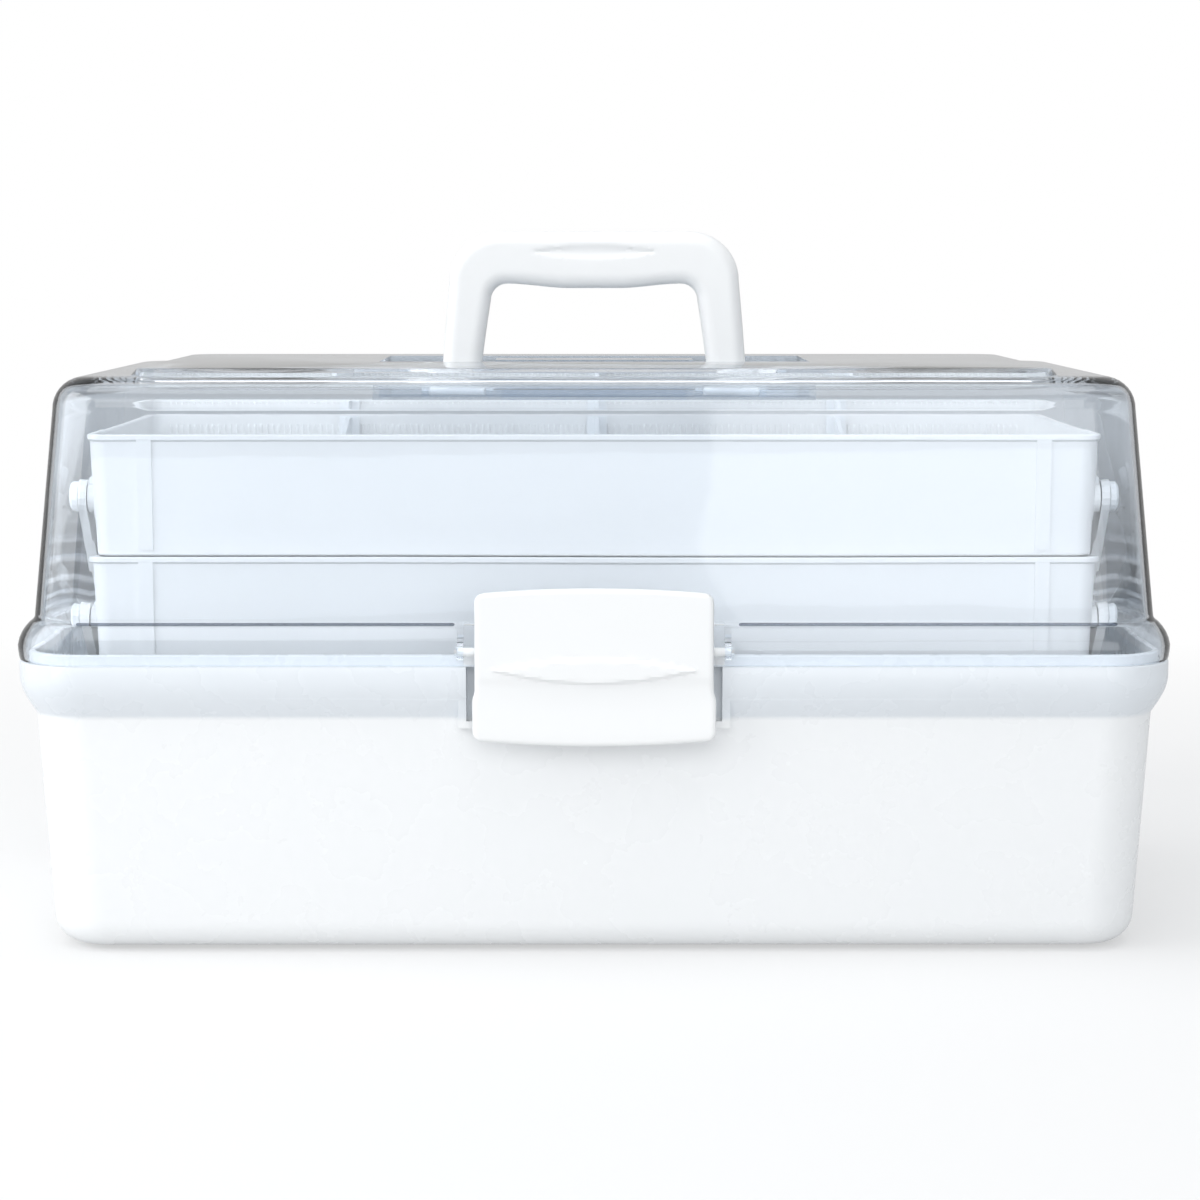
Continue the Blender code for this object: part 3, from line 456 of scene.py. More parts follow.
def base_rings():
    edge_z = FOOT_HEIGHT + BASE_EDGE_RADIUS
    rings = [rounded_ring(0.0, *[h - 0.0006 for h in FOOT_HALF], FOOT_CORNER - 0.0006)]
    rings.append(rounded_ring(FOOT_HEIGHT * 0.6, *FOOT_HALF, FOOT_CORNER))
    rings.append(rounded_ring(FOOT_HEIGHT, *FOOT_HALF, FOOT_CORNER))
    rings += bowl_edge(edge_z, BASE_EDGE_RADIUS, base_wall_half(edge_z), BASE_CORNER)
    rings.append(rounded_ring(RIM_BOTTOM_Z - 0.001, *base_wall_half(RIM_BOTTOM_Z - 0.001),
                              BASE_CORNER))
    for step in range(RIM_SWELL_STEPS + 1):
        t = step / RIM_SWELL_STEPS
        swell = math.sin(math.radians(90 * t))
        half = [lerp(a, b, swell) for a, b in zip(BASE_TOP_HALF, RIM_HALF)]
        rings.append(rounded_ring(lerp(RIM_BOTTOM_Z, RIM_WIDE_Z, t), *half,
                                  BASE_CORNER + RIM_CORNER_GAIN * swell))
    rim_corner = BASE_CORNER + RIM_CORNER_GAIN
    rings.append(rounded_ring(SEAM_Z - 0.0006, *RIM_HALF, rim_corner))
    rings.append(rounded_ring(SEAM_Z - 0.0002, *[h - 0.0002 for h in RIM_HALF], rim_corner))
    rings.append(rounded_ring(SEAM_Z, *[h - 0.0006 for h in RIM_HALF], rim_corner))
    lip = [half - LIP_SET_IN for half in RIM_HALF]
    inner = [half - LIP_WALL for half in lip]
    lip_corner = BASE_CORNER + 0.0015
    soft = 0.0005
    rings += [
        rounded_ring(SEAM_Z, *lip, lip_corner),
        rounded_ring(LIP_TOP_Z - soft, *lip, lip_corner),
        rounded_ring(LIP_TOP_Z, *[h - soft for h in lip], lip_corner - soft),
        rounded_ring(LIP_TOP_Z, *[h + soft for h in inner], lip_corner - LIP_WALL + soft),
        rounded_ring(LIP_TOP_Z - soft, *inner, lip_corner - LIP_WALL),
        rounded_ring(RIM_WIDE_Z, *inner, lip_corner - LIP_WALL),
    ]
    wall_top = [half - BASE_WALL for half in BASE_TOP_HALF]
    for t in (0.85, 0.6, 0.3):
        half = [lerp(a, b, smooth(t)) for a, b in zip(wall_top, inner)]
        rings.append(rounded_ring(lerp(RIM_BOTTOM_Z, RIM_WIDE_Z - 0.002, t), *half, BASE_CORNER))
    rings.append(rounded_ring(RIM_BOTTOM_Z, *wall_top, BASE_CORNER - BASE_WALL))
    radius = BASE_EDGE_RADIUS - BASE_WALL
    centre_z = FOOT_HEIGHT + BASE_WALL + radius
    wall_low = [half - BASE_WALL for half in base_wall_half(centre_z)]
    rings += reversed(bowl_edge(centre_z, radius, wall_low, BASE_CORNER - BASE_WALL))
    return rings


def arm_points():
    """(Y, Z) of each arm pivot by name, from the middles of the rivets' own boxes."""
    points = {}
    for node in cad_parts:
        if node.startswith("rivet_") and node.endswith("_right"):
            low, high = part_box(node)
            middle = (low + high) / 2
            points[node[len("rivet_"):-len("_right")]] = (middle.y, middle.z)
    return points


ARMS = arm_points()


def knuckle_outline():
    rim_y = RIM_HALF[1]
    back_y = HINGE_AXIS[0] + HINGE_BARREL_R
    return [(rim_y - 0.002, 0.092), (rim_y + 0.001, 0.092), (back_y, 0.0995),
            (back_y, HINGE_AXIS[1]), (rim_y + 0.001, HINGE_AXIS[1]),
            (rim_y + 0.001, SEAM_Z - 0.0002), (rim_y - 0.002, SEAM_Z - 0.0002)]


def rods(spans, centres, radius):
    """A builder of round bars on both sides of the box."""
    def build(bm):
        for span in spans:
            for x0, x1 in both_sides(span):
                for centre in centres:
                    add_rod(bm, x0, x1, centre, radius)
    return build


def boxes(*pairs):
    def build(bm):
        for low, high in pairs:
            add_box(bm, low, high)
    return build


def plates(spans, outline):
    def build(bm):
        for span in spans:
            for x0, x1 in both_sides(span):
                add_plate(bm, outline, x0, x1)
    return build


def build_base():
    bm = bmesh.new()
    add_loft(bm, base_rings())
    base = finish_mesh("base_shell", bm, "base", "base", ["base_box"])
    half = BASE_NOTCH_HALF_X
    pivots = [ARMS["long_base"], ARMS["lower_base"]]
    hinge_span = (BASE_KNUCKLES[0][0] - MM, BASE_KNUCKLES[1][1] + MM)
    carve(base, [
        ("UNION", boxes(((-BASE_BACKING_HALF_X, BASE_BACKING_Y[0], BASE_BACKING_Z),
                         (BASE_BACKING_HALF_X, BASE_BACKING_Y[1], SEAM_Z - 0.0008)))),
        ("DIFFERENCE", boxes(((-half, BASE_NOTCH_Y[0], RIM_BOTTOM_Z - 0.0005),
                              (half, BASE_NOTCH_Y[1], SEAM_Z - 0.00005)))),
        ("UNION", rods([BASE_BOSS_X], pivots, BOSS_R)),
        ("DIFFERENCE", rods([BASE_BOSS_HOLE_X], pivots, RIVET_HOLE_R)),
        ("UNION", plates(BASE_KNUCKLES, knuckle_outline())),
        ("UNION", rods(BASE_KNUCKLES, [HINGE_AXIS], HINGE_BARREL_R)),
        ("DIFFERENCE", rods([hinge_span], [HINGE_AXIS], HINGE_HOLE_R)),
    ])
    soften(base, 0.0004)


# ---------------------------------------------------------------- lid


def skirt_ring(z, out, inset=0.0):
    half_x = LID_SHOULDER_HALF[0] + out * 1.5 - inset
    half_y = LID_SHOULDER_HALF[1] + (out - inset) * 0.6
    return rounded_ring(z, half_x, half_y, LID_CORNER + out - inset)


# Height, and how far the skirt stands out there.
SKIRT = ((0.1127, 0.0004), (0.1118, 0.0012), (0.1102, 0.0022), (0.1085, 0.0030),
         (0.1063, 0.0037), (0.1040, 0.0041), (0.1020, 0.0040), (0.1000, 0.0038),
         (0.0992, 0.0036))


def lid_rings():
    top_z = LID_TOP_Z
    rings = [
        rounded_ring(z, *[h - inset for h in PANEL_HALF], PANEL_CORNER + 0.0030 - inset)
        for z, inset in ((top_z + PANEL_RISE, 0.0030), (top_z + PANEL_RISE - 0.0003, 0.0022),
                         (top_z + 0.0004, 0.0005), (top_z, -0.0003))
    ]
    outer = bowl_edge(LID_EDGE_RADIUS, LID_EDGE_RADIUS, LID_TOP_HALF, LID_CORNER)
    rings += flipped(outer, top_z)
    rings.append(rounded_ring(LID_SHOULDER_Z + 0.0006, *LID_SHOULDER_HALF, LID_CORNER))
    rings += [skirt_ring(z, out) for z, out in SKIRT]
    rings += [skirt_ring(z, out, LID_WALL) for z, out in reversed(SKIRT)]
    inner_shoulder = [half - LID_WALL for half in LID_SHOULDER_HALF]
    rings.append(rounded_ring(LID_SHOULDER_Z + 0.0014, *inner_shoulder, LID_INNER_CORNER))
    inner_half = [half - LID_WALL for half in LID_TOP_HALF]
    inner_radius = LID_INNER_EDGE_RADIUS
    inner_z = top_z - LID_WALL
    inner = bowl_edge(inner_radius, inner_radius, inner_half, LID_INNER_CORNER)
    rings += flipped(reversed(inner), inner_z)
    panel = [half - LID_WALL for half in PANEL_HALF]
    rings.append(rounded_ring(inner_z, *panel, 0.011))
    rings.append(rounded_ring(inner_z + PANEL_RISE, panel[0] - MM, panel[1] - MM, 0.010))
    return rings


def lug_outline(y, z, radius, foot_z):
    points = [(y - radius, foot_z), (y + radius, foot_z)]
    points += [(y + radius * math.cos(math.pi * i / 12), z + radius * math.sin(math.pi * i / 12))
               for i in range(13)]
    return points


def latch_lug_outline(y, z):
    radius, root_y = LATCH_EAR_R, -0.0990
    points = [(root_y, z + radius + 0.003), (y, z + radius)]
    for step in range(1, 12):
        angle = math.pi * (0.5 + step / 12)
        points.append((y + radius * math.cos(angle), z + radius * math.sin(angle)))
    points += [(y, z - radius), (root_y - 0.0015, z - radius + 0.0014), (root_y, z)]
    return points


def build_lid():
    bm = bmesh.new()
    add_loft(bm, lid_rings())
    lid = finish_mesh("lid_shell", bm, "lid", "lid", ["lid"])
    wall = LID_WALL
    floor_low = WELL_FLOOR_Z - wall
    plate_z = LID_TOP_Z + PANEL_RISE
    outer = NOTCH_HALF_X + NOTCH_WALL
    carve(lid, [
        ("UNION", boxes(((-WELL_HALF_X - wall, WELL_Y[0] - wall, floor_low),
                         (WELL_HALF_X + wall, WELL_Y[1] + wall, plate_z - WELL_RIM_STEP)))),
        ("DIFFERENCE", boxes(((-WELL_HALF_X, WELL_Y[0], WELL_FLOOR_Z),
                              (WELL_HALF_X, WELL_Y[1], LID_TOP_Z + 0.012)))),
        ("UNION", boxes(((-ISLAND_HALF_X, ISLAND_Y[0], floor_low + MM),
                         (ISLAND_HALF_X, ISLAND_Y[1], plate_z)))),
        ("UNION", plates(HANDLE_LUGS, lug_outline(*HANDLE_AXIS, HANDLE_LUG_R, floor_low + MM))),
        ("DIFFERENCE", boxes(((-ISLAND_HALF_X + wall, ISLAND_Y[0] + wall, floor_low - 0.003),
                              (ISLAND_HALF_X - wall, ISLAND_Y[1] - wall, plate_z - wall)))),
        ("DIFFERENCE", rods([(HANDLE_LUGS[0][0] - 0.002, HANDLE_LUGS[1][1] + 0.002)],
                            [HANDLE_AXIS], SMALL_HOLE_R)),
        ("UNION", boxes(((-outer, NOTCH_BACKING_Y[0], LIP_TOP_Z + 0.0008),
                         (outer, NOTCH_BACKING_Y[1], LID_SHOULDER_Z - 0.0006)))),
        ("UNION", plates([(NOTCH_HALF_X - 0.0008, outer)], latch_lug_outline(*LATCH_AXIS))),
        ("DIFFERENCE", boxes(((-NOTCH_HALF_X, *FRONT_CLEAR),
                              (NOTCH_HALF_X, NOTCH_BACK_Y, LID_SHOULDER_Z + 0.0006)))),
        ("DIFFERENCE", rods([(NOTCH_HALF_X - MM, outer + MM)], [LATCH_AXIS], SMALL_HOLE_R)),
        ("UNION", boxes(*[((x0, HINGE_TAB_FRONT_Y, HINGE_AXIS[1] + 0.0001),
                           (x1, HINGE_AXIS[0] + 0.0015, HINGE_TAB_TOP_Z))
                          for x0, x1 in both_sides(LID_KNUCKLE)])),
        ("UNION", rods([LID_KNUCKLE], [HINGE_AXIS], HINGE_BARREL_R)),
        ("DIFFERENCE", rods([(LID_KNUCKLE[0] - MM, LID_KNUCKLE[1] + MM)],
                            [HINGE_AXIS], HINGE_HOLE_R)),
    ])
    soften(lid, 0.0004)


def build_painted_ledge_shade():
    """Strips of dark glass under the front shoulder: painted shade, a thin dark line standing in for
    the shade where the skirt meets the front wall, seen edge-on.
    """
    front, back = LEDGE_Y
    for side, x0, x1 in LEDGE_X:
        radius = LEDGE_HALF
        rings = []
        for x, scale in ((x0, 0.35), (x0 + radius * 0.4, 0.8), (x0 + radius, 1.0),
                         (x1 - radius, 1.0), (x1 - radius * 0.4, 0.8), (x1, 0.35)):
            half = radius * scale
            rings.append([Vector((x, y, LEDGE_Z + dz)) for y, dz in (
                (front, -half), (back, -half), (back, half), (front, half))])
        bm = bmesh.new()
        add_loft(bm, rings)
        finish_mesh("lid_ledge_shade_line_" + side, bm, "ledge_shade", "lid")


# ---------------------------------------------------------------- handle


def quarter(centre, radius, start, steps):
    return [(centre[0] + radius * math.cos(math.radians(start - 90 * i / steps)),
             centre[1] + radius * math.sin(math.radians(start - 90 * i / steps)))
            for i in range(steps + 1)]


def handle_outlines():
    """Matching outer and inner points, from the left foot over the bar to the right foot."""
    steps, arm_steps, bar_steps = 14, 10, 36
    foot_z = HANDLE_AXIS[1] + MM
    outer_r, inner_r = HANDLE_CORNER_R
    outer_x, inner_x = HANDLE_SHOULDER_X
    outer_foot_x, inner_foot_x = HANDLE_FOOT_EDGE_X
    outer_corner = quarter((outer_x + outer_r, HANDLE_TOP_Z - outer_r), outer_r, 180, steps)
    inner_corner = quarter((inner_x + inner_r, HANDLE_UNDER_Z - inner_r), inner_r, 180, steps)
    outer = [(lerp(outer_foot_x, outer_corner[0][0], (i / arm_steps) ** 1.2),
              lerp(foot_z, outer_corner[0][1], i / arm_steps)) for i in range(arm_steps)]
    inner = [(lerp(inner_foot_x, inner_corner[0][0], (i / arm_steps) ** 1.2),
              lerp(foot_z, inner_corner[0][1], i / arm_steps)) for i in range(arm_steps)]
    outer += outer_corner
    inner += inner_corner
    for i in range(1, bar_steps):
        t = i / bar_steps
        outer.append((lerp(outer_corner[-1][0], 0.0, t), HANDLE_TOP_Z))
        inner.append((lerp(inner_corner[-1][0], 0.0, t),
                      HANDLE_UNDER_Z - HANDLE_SAG * smooth(t * 1.4)))
    outer += [(0.0, HANDLE_TOP_Z)] + [(-x, z) for x, z in reversed(outer)]
    inner += [(0.0, HANDLE_UNDER_Z - HANDLE_SAG)] + [(-x, z) for x, z in reversed(inner)]
    return outer, inner


def handle_section(outer, inner):
    """A rounded cross-section that spans one outer and one inner point."""
    middle = Vector(((outer[0] + inner[0]) / 2, 0.0, (outer[1] + inner[1]) / 2))
    across = Vector((outer[0] - inner[0], 0.0, outer[1] - inner[1]))
    half = across.length / 2
    across.normalize()
    corner = HANDLE_EDGE_R
    flat_steps, turn_steps = 12, 6
    loop = []
    for u_sign, v_sign, start in ((1, 1, 0), (-1, 1, 90), (-1, -1, 180), (1, -1, 270)):
        arc = []
        for step in range(turn_steps + 1):
            angle = math.radians(start + 90 * step / turn_steps)
            arc.append((u_sign * (half - corner) + corner * math.cos(angle),
                        v_sign * (HANDLE_HALF_DEPTH - corner) + corner * math.sin(angle)))
        loop.append(arc)
    points = []
    for arc, after in zip(loop, loop[1:] + loop[:1]):
        points += arc
        steps = flat_steps if abs(after[0][0] - arc[-1][0]) > abs(after[0][1] - arc[-1][1]) else 2
        for i in range(1, steps):
            t = i / steps
            points.append((lerp(arc[-1][0], after[0][0], t), lerp(arc[-1][1], after[0][1], t)))
    return [groove(middle + across * u + Vector((0.0, v, 0.0))) for u, v in points]


def groove(point):
    """Presses the finger groove, a shallow lens, into the front and back of the bar."""
    t = abs(point.x) / GROOVE_HALF_LENGTH
    if t < 1.0 and point.z > GROOVE_Z - 3 * GROOVE_HALF_HEIGHT:
        half_height = GROOVE_HALF_HEIGHT * (1 - t ** 2)
        inside = 1 - abs(point.z - GROOVE_Z) / max(half_height, 1e-6)
        depth = GROOVE_DEPTH * smooth(inside * 1.6) * smooth((1 - t) * 6)
        point.y -= math.copysign(depth, point.y)
    return point


def build_handle():
    outer, inner = handle_outlines()
    bm = bmesh.new()
    add_loft(bm, [handle_section(o, i) for o, i in zip(outer, inner)])
    handle = finish_mesh("handle_grip", bm, "grip", "handle", ["handle"])
    foot = HANDLE_FOOT_X
    carve(handle, [
        ("UNION", rods([foot], [HANDLE_AXIS], HANDLE_FOOT_R)),
        ("DIFFERENCE", rods([(foot[0] - MM, foot[1] + MM)], [HANDLE_AXIS], SMALL_HOLE_R)),
    ])
    soften(handle, 0.0006)


# ---------------------------------------------------------------- latch


def latch_half_width(z):
    """Half width at height z, with round corners and the flared finger lip."""
    corner = LATCH_CORNER
    low, high = LATCH_Z
    flare = LATCH_FLARE * smooth((low + 0.018 - z) / 0.004)
    edge = min(z - low, high - z)
    if edge < corner:
        return LATCH_HALF_X + flare - corner + math.sqrt(max(corner ** 2 - (corner - edge) ** 2, 0))
    return LATCH_HALF_X + flare


def latch_relief(x, z):
    """How far the face stands in from its front plane: a lens ridge and a dished finger lip."""
    t = min(abs(x) / RIDGE_HALF[0], 1.0)
    half_height = RIDGE_HALF[1] * (1 - t ** 2)
    above = z - RIDGE_Z
    inside = smooth((half_height - abs(above)) / 0.0011) if t < 1 else 0.0
    dish = LIP_DISH * smooth((RIDGE_Z - 0.002 - z) / 0.004) * smooth((z - LATCH_Z[0] - 0.002) / 0.014)
    return RIDGE_HEIGHT * (1 - inside) + dish * (1 - inside)


def latch_front(x, z, row_half):
    """Depth of the front face, rolled over at its edges."""
    low, high = LATCH_Z
    roll = LATCH_ROLL
    edge = min(row_half - abs(x), z - low, high - z)
    drop = 0.0
    if edge < roll:
        drop = roll - math.sqrt(max(roll ** 2 - (roll - edge) ** 2, 0.0))
    return LATCH_FRONT_Y + latch_relief(x, z) + drop


def eased(count):
    """Values from -1 to 1, closer together near both ends."""
    values = [2 * i / count - 1 for i in range(count + 1)]
    return [0.55 * v + 0.45 * math.sin(math.pi * v / 2) for v in values]


def build_latch():
    bm = bmesh.new()
    low, high = LATCH_Z
    middle_z, half_z = (low + high) / 2, (high - low) / 2
    rows, columns = 72, 96
    grid = []
    for v in eased(rows):
        z = middle_z + half_z * v
        row_half = latch_half_width(z)
        row = []
        for u in eased(columns):
            x = u * row_half
            bow = -LATCH_CROWN * (x / LATCH_HALF_X) ** 2 * v
            row.append(bm.verts.new((x, latch_front(x, z, row_half), z + bow)))
        grid.append(row)
    for below, above in zip(grid, grid[1:]):
        for i in range(columns):
            bm.faces.new((below[i], below[i + 1], above[i + 1], above[i]))
    edge = grid[0] + [row[-1] for row in grid[1:]]
    edge += list(reversed(grid[-1][:-1])) + [row[0] for row in reversed(grid[1:-1])]
    back_y = LATCH_FRONT_Y + LATCH_THICKNESS
    back = [bm.verts.new((v.co.x, back_y, v.co.z)) for v in edge]
    for i in range(len(edge)):
        j = (i + 1) % len(edge)
        bm.faces.new((edge[i], edge[j], back[j], back[i]))
    bm.faces.new(back)
    latch = finish_mesh("latch_cover", bm, "grip", "latch", ["latch"])
    ears = LATCH_EARS
    carve(latch, [
        ("UNION", plates(ears, ear_outline())),
        ("DIFFERENCE", rods([(ears[0][0] - MM, ears[1][1] + MM)], [LATCH_AXIS], SMALL_HOLE_R)),
    ])


def ear_outline():
    y, z = LATCH_AXIS
    radius = LATCH_EAR_R
    root_y = LATCH_FRONT_Y + LATCH_THICKNESS - MM
    points = [(root_y, z + radius + MM), (root_y, z - radius - MM)]
    points += [(y + radius * math.cos(math.pi * (i / 12 - 0.5)),
                z + radius * math.sin(math.pi * (i / 12 - 0.5))) for i in range(13)]
    return points


# ---------------------------------------------------------------- trays and dividers


def tray_rings(bottom_z):
    top_z = bottom_z + TRAY_HEIGHT
    centre_y = sum(TRAY_Y) / 2
    rim = (TRAY_HALF_X, (TRAY_Y[1] - TRAY_Y[0]) / 2)
    wall_top = [half - TRAY_RIM for half in rim]
    wall_low = [half - TRAY_DRAFT for half in wall_top]
    rings = []
    for step in range(6):
        angle = math.radians(-90 + 18 * step)
        inset = TRAY_EDGE_RADIUS * (1 - math.cos(angle))
        z = bottom_z + TRAY_EDGE_RADIUS * (1 + math.sin(angle))
        rings.append(rounded_ring(z, wall_low[0] - inset, wall_low[1] - inset,
                                  TRAY_CORNER - inset, centre_y))
    under_rim = top_z - TRAY_RIM_HEIGHT
    soft = 0.00035
    rings.append(rounded_ring(under_rim - soft, *wall_top, TRAY_CORNER, centre_y))
    rings.append(rounded_ring(under_rim, *[h - soft for h in rim], TRAY_CORNER, centre_y))
    rings.append(rounded_ring(under_rim + soft, *rim, TRAY_CORNER, centre_y))
    rings.append(rounded_ring(top_z - soft, *rim, TRAY_CORNER, centre_y))
    rings.append(rounded_ring(top_z, *[h - soft for h in rim], TRAY_CORNER - soft, centre_y))
    inner_top = [half - TRAY_RIM - TRAY_WALL for half in rim]
    inner_low = [half - TRAY_DRAFT for half in inner_top]
    corner = TRAY_CORNER - TRAY_WALL
    rings.append(rounded_ring(top_z, *[h + soft for h in inner_top], corner + soft, centre_y))
    rings.append(rounded_ring(top_z - soft, *inner_top, corner, centre_y))
    floor_z = bottom_z + TRAY_WALL
    for step in range(4):
        angle = math.radians(30 * step)
        inset = 0.0015 * (1 - math.cos(angle))
        rings.append(rounded_ring(floor_z + 0.0015 * (1 - math.sin(angle)), inner_low[0] - inset,
                                  inner_low[1] - inset, corner - inset, centre_y))
    return rings


def wall_y(front, depth_below_rim):
    """Y of a tray's inner face, front or rear, at a depth below its rim."""
    lean = TRAY_DRAFT * depth_below_rim / TRAY_HEIGHT
    set_in = TRAY_RIM + TRAY_WALL + lean
    return TRAY_Y[0] + set_in if front else TRAY_Y[1] - set_in


def build_comb(name, body, bottom_z, front):
    """The row of upright slots on one inner wall that holds the dividers."""
    tooth, root = COMB_TOOTH, 0.0004
    inward = 1 if front else -1
    half_length = COMB_HALF_LENGTH
    count = int(2 * half_length / COMB_PITCH)
    levels = (TRAY_WALL + 0.0008, TRAY_HEIGHT - 0.0042, TRAY_HEIGHT - 0.0032)
    rings = []
    for number, height in enumerate(levels):
        face = wall_y(front, TRAY_HEIGHT - height)
        reach = COMB_REACH if number < 2 else 0.0001
        outline = []
        for i in range(count):
            x = -half_length + COMB_PITCH * (i + 0.5)
            for dx, out in ((-tooth / 2, 0.0), (-tooth * 0.3, reach), (tooth * 0.3, reach),
                            (tooth / 2, 0.0)):
                outline.append((x + dx, face + inward * out))
        outline.append((half_length, face))
        outline.append((half_length, face - inward * root))
        outline.append((-half_length, face - inward * root))
        outline.append((-half_length, face))
        if not front:
            outline.reverse()
        rings.append([Vector((x, y, bottom_z + height)) for x, y in outline])
    bm = bmesh.new()
    add_loft(bm, rings)
    finish_mesh(name, bm, "tray", body)


def rib_outline(bottom_z, side):
    """(Y, Z) outline of an upright rib that follows the front or rear wall's slope."""
    face = TRAY_Y[0] + TRAY_RIM if side < 0 else TRAY_Y[1] - TRAY_RIM
    low_z, high_z = bottom_z + 0.0022, bottom_z + TRAY_HEIGHT - TRAY_RIM_HEIGHT / 2
    return [(face + side * (out - lean), z) for out, lean, z in (
        (RIB_OUT, TRAY_DRAFT, low_z), (RIB_OUT, 0.0, high_z), (-0.0009, 0.0, high_z),
        (-0.0009, TRAY_DRAFT, low_z))]


def build_tray(which, bottom_z, pivots):
    body = which + "_tray"
    bm = bmesh.new()
    add_loft(bm, tray_rings(bottom_z))
    tray = finish_mesh(which + "_tray_shell", bm, "tray", body, [which + "_tray"])
    carve(tray, [
        ("UNION", plates([(RIB_X - RIB_HALF, RIB_X + RIB_HALF)], rib_outline(bottom_z, -1))),
        ("UNION", plates([(RIB_X - RIB_HALF, RIB_X + RIB_HALF)], rib_outline(bottom_z, 1))),
        ("UNION", rods([(TRAY_HALF_X - 0.0026, BOSS_OUTER_X)], pivots, BOSS_R)),
        ("DIFFERENCE", rods([(TRAY_HALF_X - 0.006, BOSS_OUTER_X + MM)], pivots, RIVET_HOLE_R)),
    ])
    soften(tray, 0.0002, 2)
    for front in (True, False):
        build_comb(which + "_tray_comb_" + ("front" if front else "rear"), body, bottom_z, front)


def clip_outline(x, half, edge, inward):
    """(X, Y) plan of a divider's end clip: a flat back with four prongs toward the wall."""
    prong, root, back = 0.0005, edge + inward * 0.0010, edge + inward * 0.0021
    pitch = COMB_PITCH * 0.87
    outline = [(x - half, back), (x - half, root)]
    for i in range(4):
        middle = x + (i - 1.5) * pitch
        outline += [(middle - prong, root), (middle - prong * 0.7, edge),
                    (middle + prong * 0.7, edge), (middle + prong, root)]
    outline += [(x + half, root), (x + half, back)]
    return outline


def build_divider(node):
    """A lift-out divider: a scooped web between two clips whose prongs sit in the combs."""
    low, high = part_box(node)
    x, half = (low.x + high.x) / 2, (high.x - low.x) / 2
    web, steps, shoulder = 0.0008, 28, 0.011
    y0, y1 = low.y + 0.0014, high.y - 0.0014
    web_top = high.z - 0.0003
    outline = [(y0, low.z), (y1, low.z), (y1, web_top)]
    for step in range(steps + 1):
        t = step / steps
        depth = 0.007 * max(math.sin(math.pi * t), 0.0) ** 0.7
        outline.append((lerp(y1 - shoulder, y0 + shoulder, t), web_top - depth))
    outline.append((y0, web_top))
    bm = bmesh.new()
    add_plate(bm, outline, x - web, x + web)
    plate = finish_mesh(node + "_plate", bm, "divider", "top_tray", [node])
    soften(plate, 0.00015, 2)
    for end, edge, inward in (("front", low.y, 1), ("rear", high.y, -1)):
        plan = clip_outline(x, half, edge, inward)
        bm = bmesh.new()
        add_loft(bm, [[Vector((px, py, z)) for px, py in plan] for z in (low.z, high.z)])
        clip = finish_mesh(node + "_clip_" + end, bm, "divider", "top_tray")
        soften(clip, 0.00012, 2)


# ---------------------------------------------------------------- small CAD pieces kept


def dress_small_parts():
    """The arms, rivets and pins keep their CAD shape, with softened edges."""
    for name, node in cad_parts.items():
        if node.hide_render:
            continue
        node.data.materials.clear()
        if name.startswith("lid_hinge_pin"):
            node.data.materials.append(MATERIALS["steel"])
        else:
            node.data.materials.append(MATERIALS["tray" if "_arm_" in name else "base"])
        node.data.shade_smooth()
        node.data.set_sharp_from_angle(angle=math.radians(40))
        width = 0.0004 if "_arm_" in name else 0.00025
        soften(node, width, 2)


# ---------------------------------------------------------------- stage, light and camera


WALL_RADIANCE = 0.62  # of the studio wall, against 1 for paper white


def sweep_material():
    """White paper near the box and a panel behind it, plain white in the picture itself.

    Seen through or mirrored in the clear lid, the panel is the grey of an unlit studio wall.
    """
    made, tree, shader = principled("sweep", (0.80, 0.805, 0.81), 0.7)
    shader.inputs["Specular IOR Level"].default_value = 0.1
    fibre = noise(tree, 500.0, 3.0)
    tree.links.new(remap(tree, fibre.outputs["Fac"], 0.65, 0.75), shader.inputs["Roughness"])
    where = tree.nodes.new("ShaderNodeTexCoord")
    split = tree.nodes.new("ShaderNodeSeparateXYZ")
    tree.links.new(where.outputs["Object"], split.inputs["Vector"])
    fade = tree.nodes.new("ShaderNodeMapRange")
    fade.inputs["From Min"].default_value = 0.25
    fade.inputs["From Max"].default_value = 0.75
    fade.inputs["To Min"].default_value = 0.4
    tree.links.new(split.outputs["Y"], fade.inputs["Value"])
    panel = tree.nodes.new("ShaderNodeEmission")
    panel.inputs["Color"].default_value = (1.0, 1.0, 1.0, 1.0)
    path = tree.nodes.new("ShaderNodeLightPath")
    seen = tree.nodes.new("ShaderNodeMapRange")
    seen.inputs["To Min"].default_value = WALL_RADIANCE
    seen.inputs["To Max"].default_value = 1.0
    tree.links.new(path.outputs["Is Camera Ray"], seen.inputs["Value"])
    tree.links.new(seen.outputs["Result"], panel.inputs["Strength"])
    mix = tree.nodes.new("ShaderNodeMixShader")
    tree.links.new(fade.outputs["Result"], mix.inputs["Fac"])
    tree.links.new(shader.outputs["BSDF"], mix.inputs[1])
    tree.links.new(panel.outputs["Emission"], mix.inputs[2])
    tree.links.new(mix.outputs["Shader"], tree.nodes["Material Output"].inputs["Surface"])
    return made


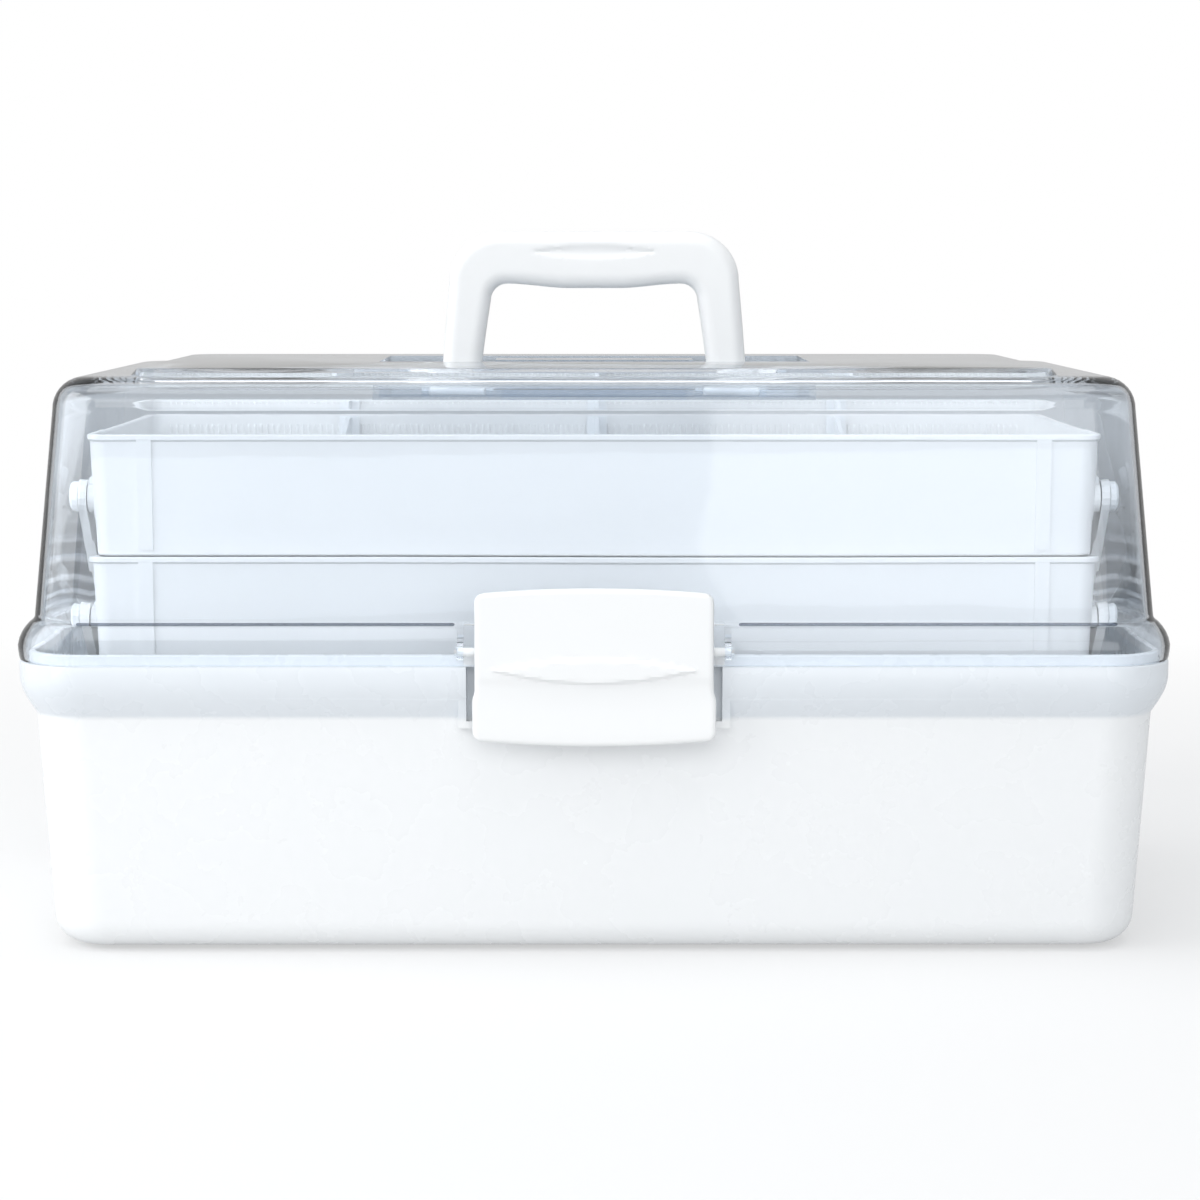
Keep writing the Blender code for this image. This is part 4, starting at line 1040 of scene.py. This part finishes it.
def build_stage():
    size, bend, wall_at, steps = 3.0, 0.5, 1.6, 10
    profile = [(-size, 0.0), (wall_at - bend, 0.0)]
    for i in range(1, steps + 1):
        angle = math.radians(90 * i / steps)
        profile.append((wall_at - bend + bend * math.sin(angle), bend - bend * math.cos(angle)))
    profile.append((wall_at, 1.2))
    bm = bmesh.new()
    left = [bm.verts.new((-size, y, z - 0.0002)) for y, z in profile]
    right = [bm.verts.new((size, y, z - 0.0002)) for y, z in profile]
    for i in range(len(profile) - 1):
        bm.faces.new((left[i], right[i], right[i + 1], left[i + 1]))
    mesh = bpy.data.meshes.new("sweep")
    bm.to_mesh(mesh)
    bm.free()
    mesh.shade_smooth()
    mesh.materials.append(sweep_material())
    sweep = bpy.data.objects.new("sweep", mesh)
    bpy.context.scene.collection.objects.link(sweep)


def softbox(name, place, target, size, radiance, colour=(1.0, 1.0, 1.0)):
    """A rectangular lamp that looks radiance bright from any side it faces."""
    light = bpy.data.lights.new(name, "AREA")
    light.shape = "RECTANGLE"
    light.size, light.size_y = size
    light.energy = radiance * math.pi * size[0] * size[1]
    light.color = colour
    made = bpy.data.objects.new(name, light)
    made.location = place
    aim = Vector(target) - Vector(place)
    made.rotation_euler = aim.to_track_quat("-Z", "Y").to_euler()
    bpy.context.scene.collection.objects.link(made)
    return made


def build_lights():
    world = bpy.data.worlds.new("studio")
    bpy.context.scene.world = world
    world.use_nodes = True
    background = world.node_tree.nodes["Background"]
    background.inputs["Color"].default_value = (0.95, 0.975, 1.0, 1.0)
    background.inputs["Strength"].default_value = 0.60
    softbox("overhead", (-0.1, -0.2, 1.7), (0, 0, 0.1), (1.8, 1.4), 1.5)
    softbox("left_key", (-1.5, -0.45, 0.70), (0, 0, 0.12), (1.7, 1.3), 2.3)
    softbox("front_fill", (-0.3, -2.3, 1.3), (0, 0, 0.1), (2.2, 1.1), 1.9)
    softbox("lid_glow", (0.66, -2.0, 0.34), (0.13, 0, 0.16), (1.06, 0.52), 1.9)


def build_camera():
    data = bpy.data.cameras.new("camera")
    data.lens = 91.5
    data.sensor_width = 36.0
    data.clip_start = 0.05
    data.clip_end = 20.0
    camera = bpy.data.objects.new("camera", data)
    camera.location = (0.0, -1.104, 0.233)
    pitch, yaw = 6.37, -0.11
    camera.rotation_euler = (math.radians(90 - pitch), 0.0, math.radians(yaw))
    bpy.context.scene.collection.objects.link(camera)
    bpy.context.scene.camera = camera


# ---------------------------------------------------------------- assembly

build_base()
build_lid()
build_painted_ledge_shade()
build_handle()
build_latch()
build_tray("mid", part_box("mid_tray")[0].z, [ARMS["long_mid"], ARMS["lower_mid"], ARMS["upper_mid"]])
build_tray("top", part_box("top_tray")[0].z, [ARMS["long_top"], ARMS["upper_top"]])
for divider_number in (1, 2, 3):
    build_divider("divider_" + str(divider_number))
dress_small_parts()
build_stage()
build_lights()
build_camera()
bpy.context.scene.view_settings.view_transform = "Standard"
# The lid is two walls deep almost everywhere, and each ray crosses both faces of both.
cycles = bpy.context.scene.cycles
cycles.max_bounces = 20
cycles.glossy_bounces = 20
cycles.transmission_bounces = 20
cycles.transparent_max_bounces = 20
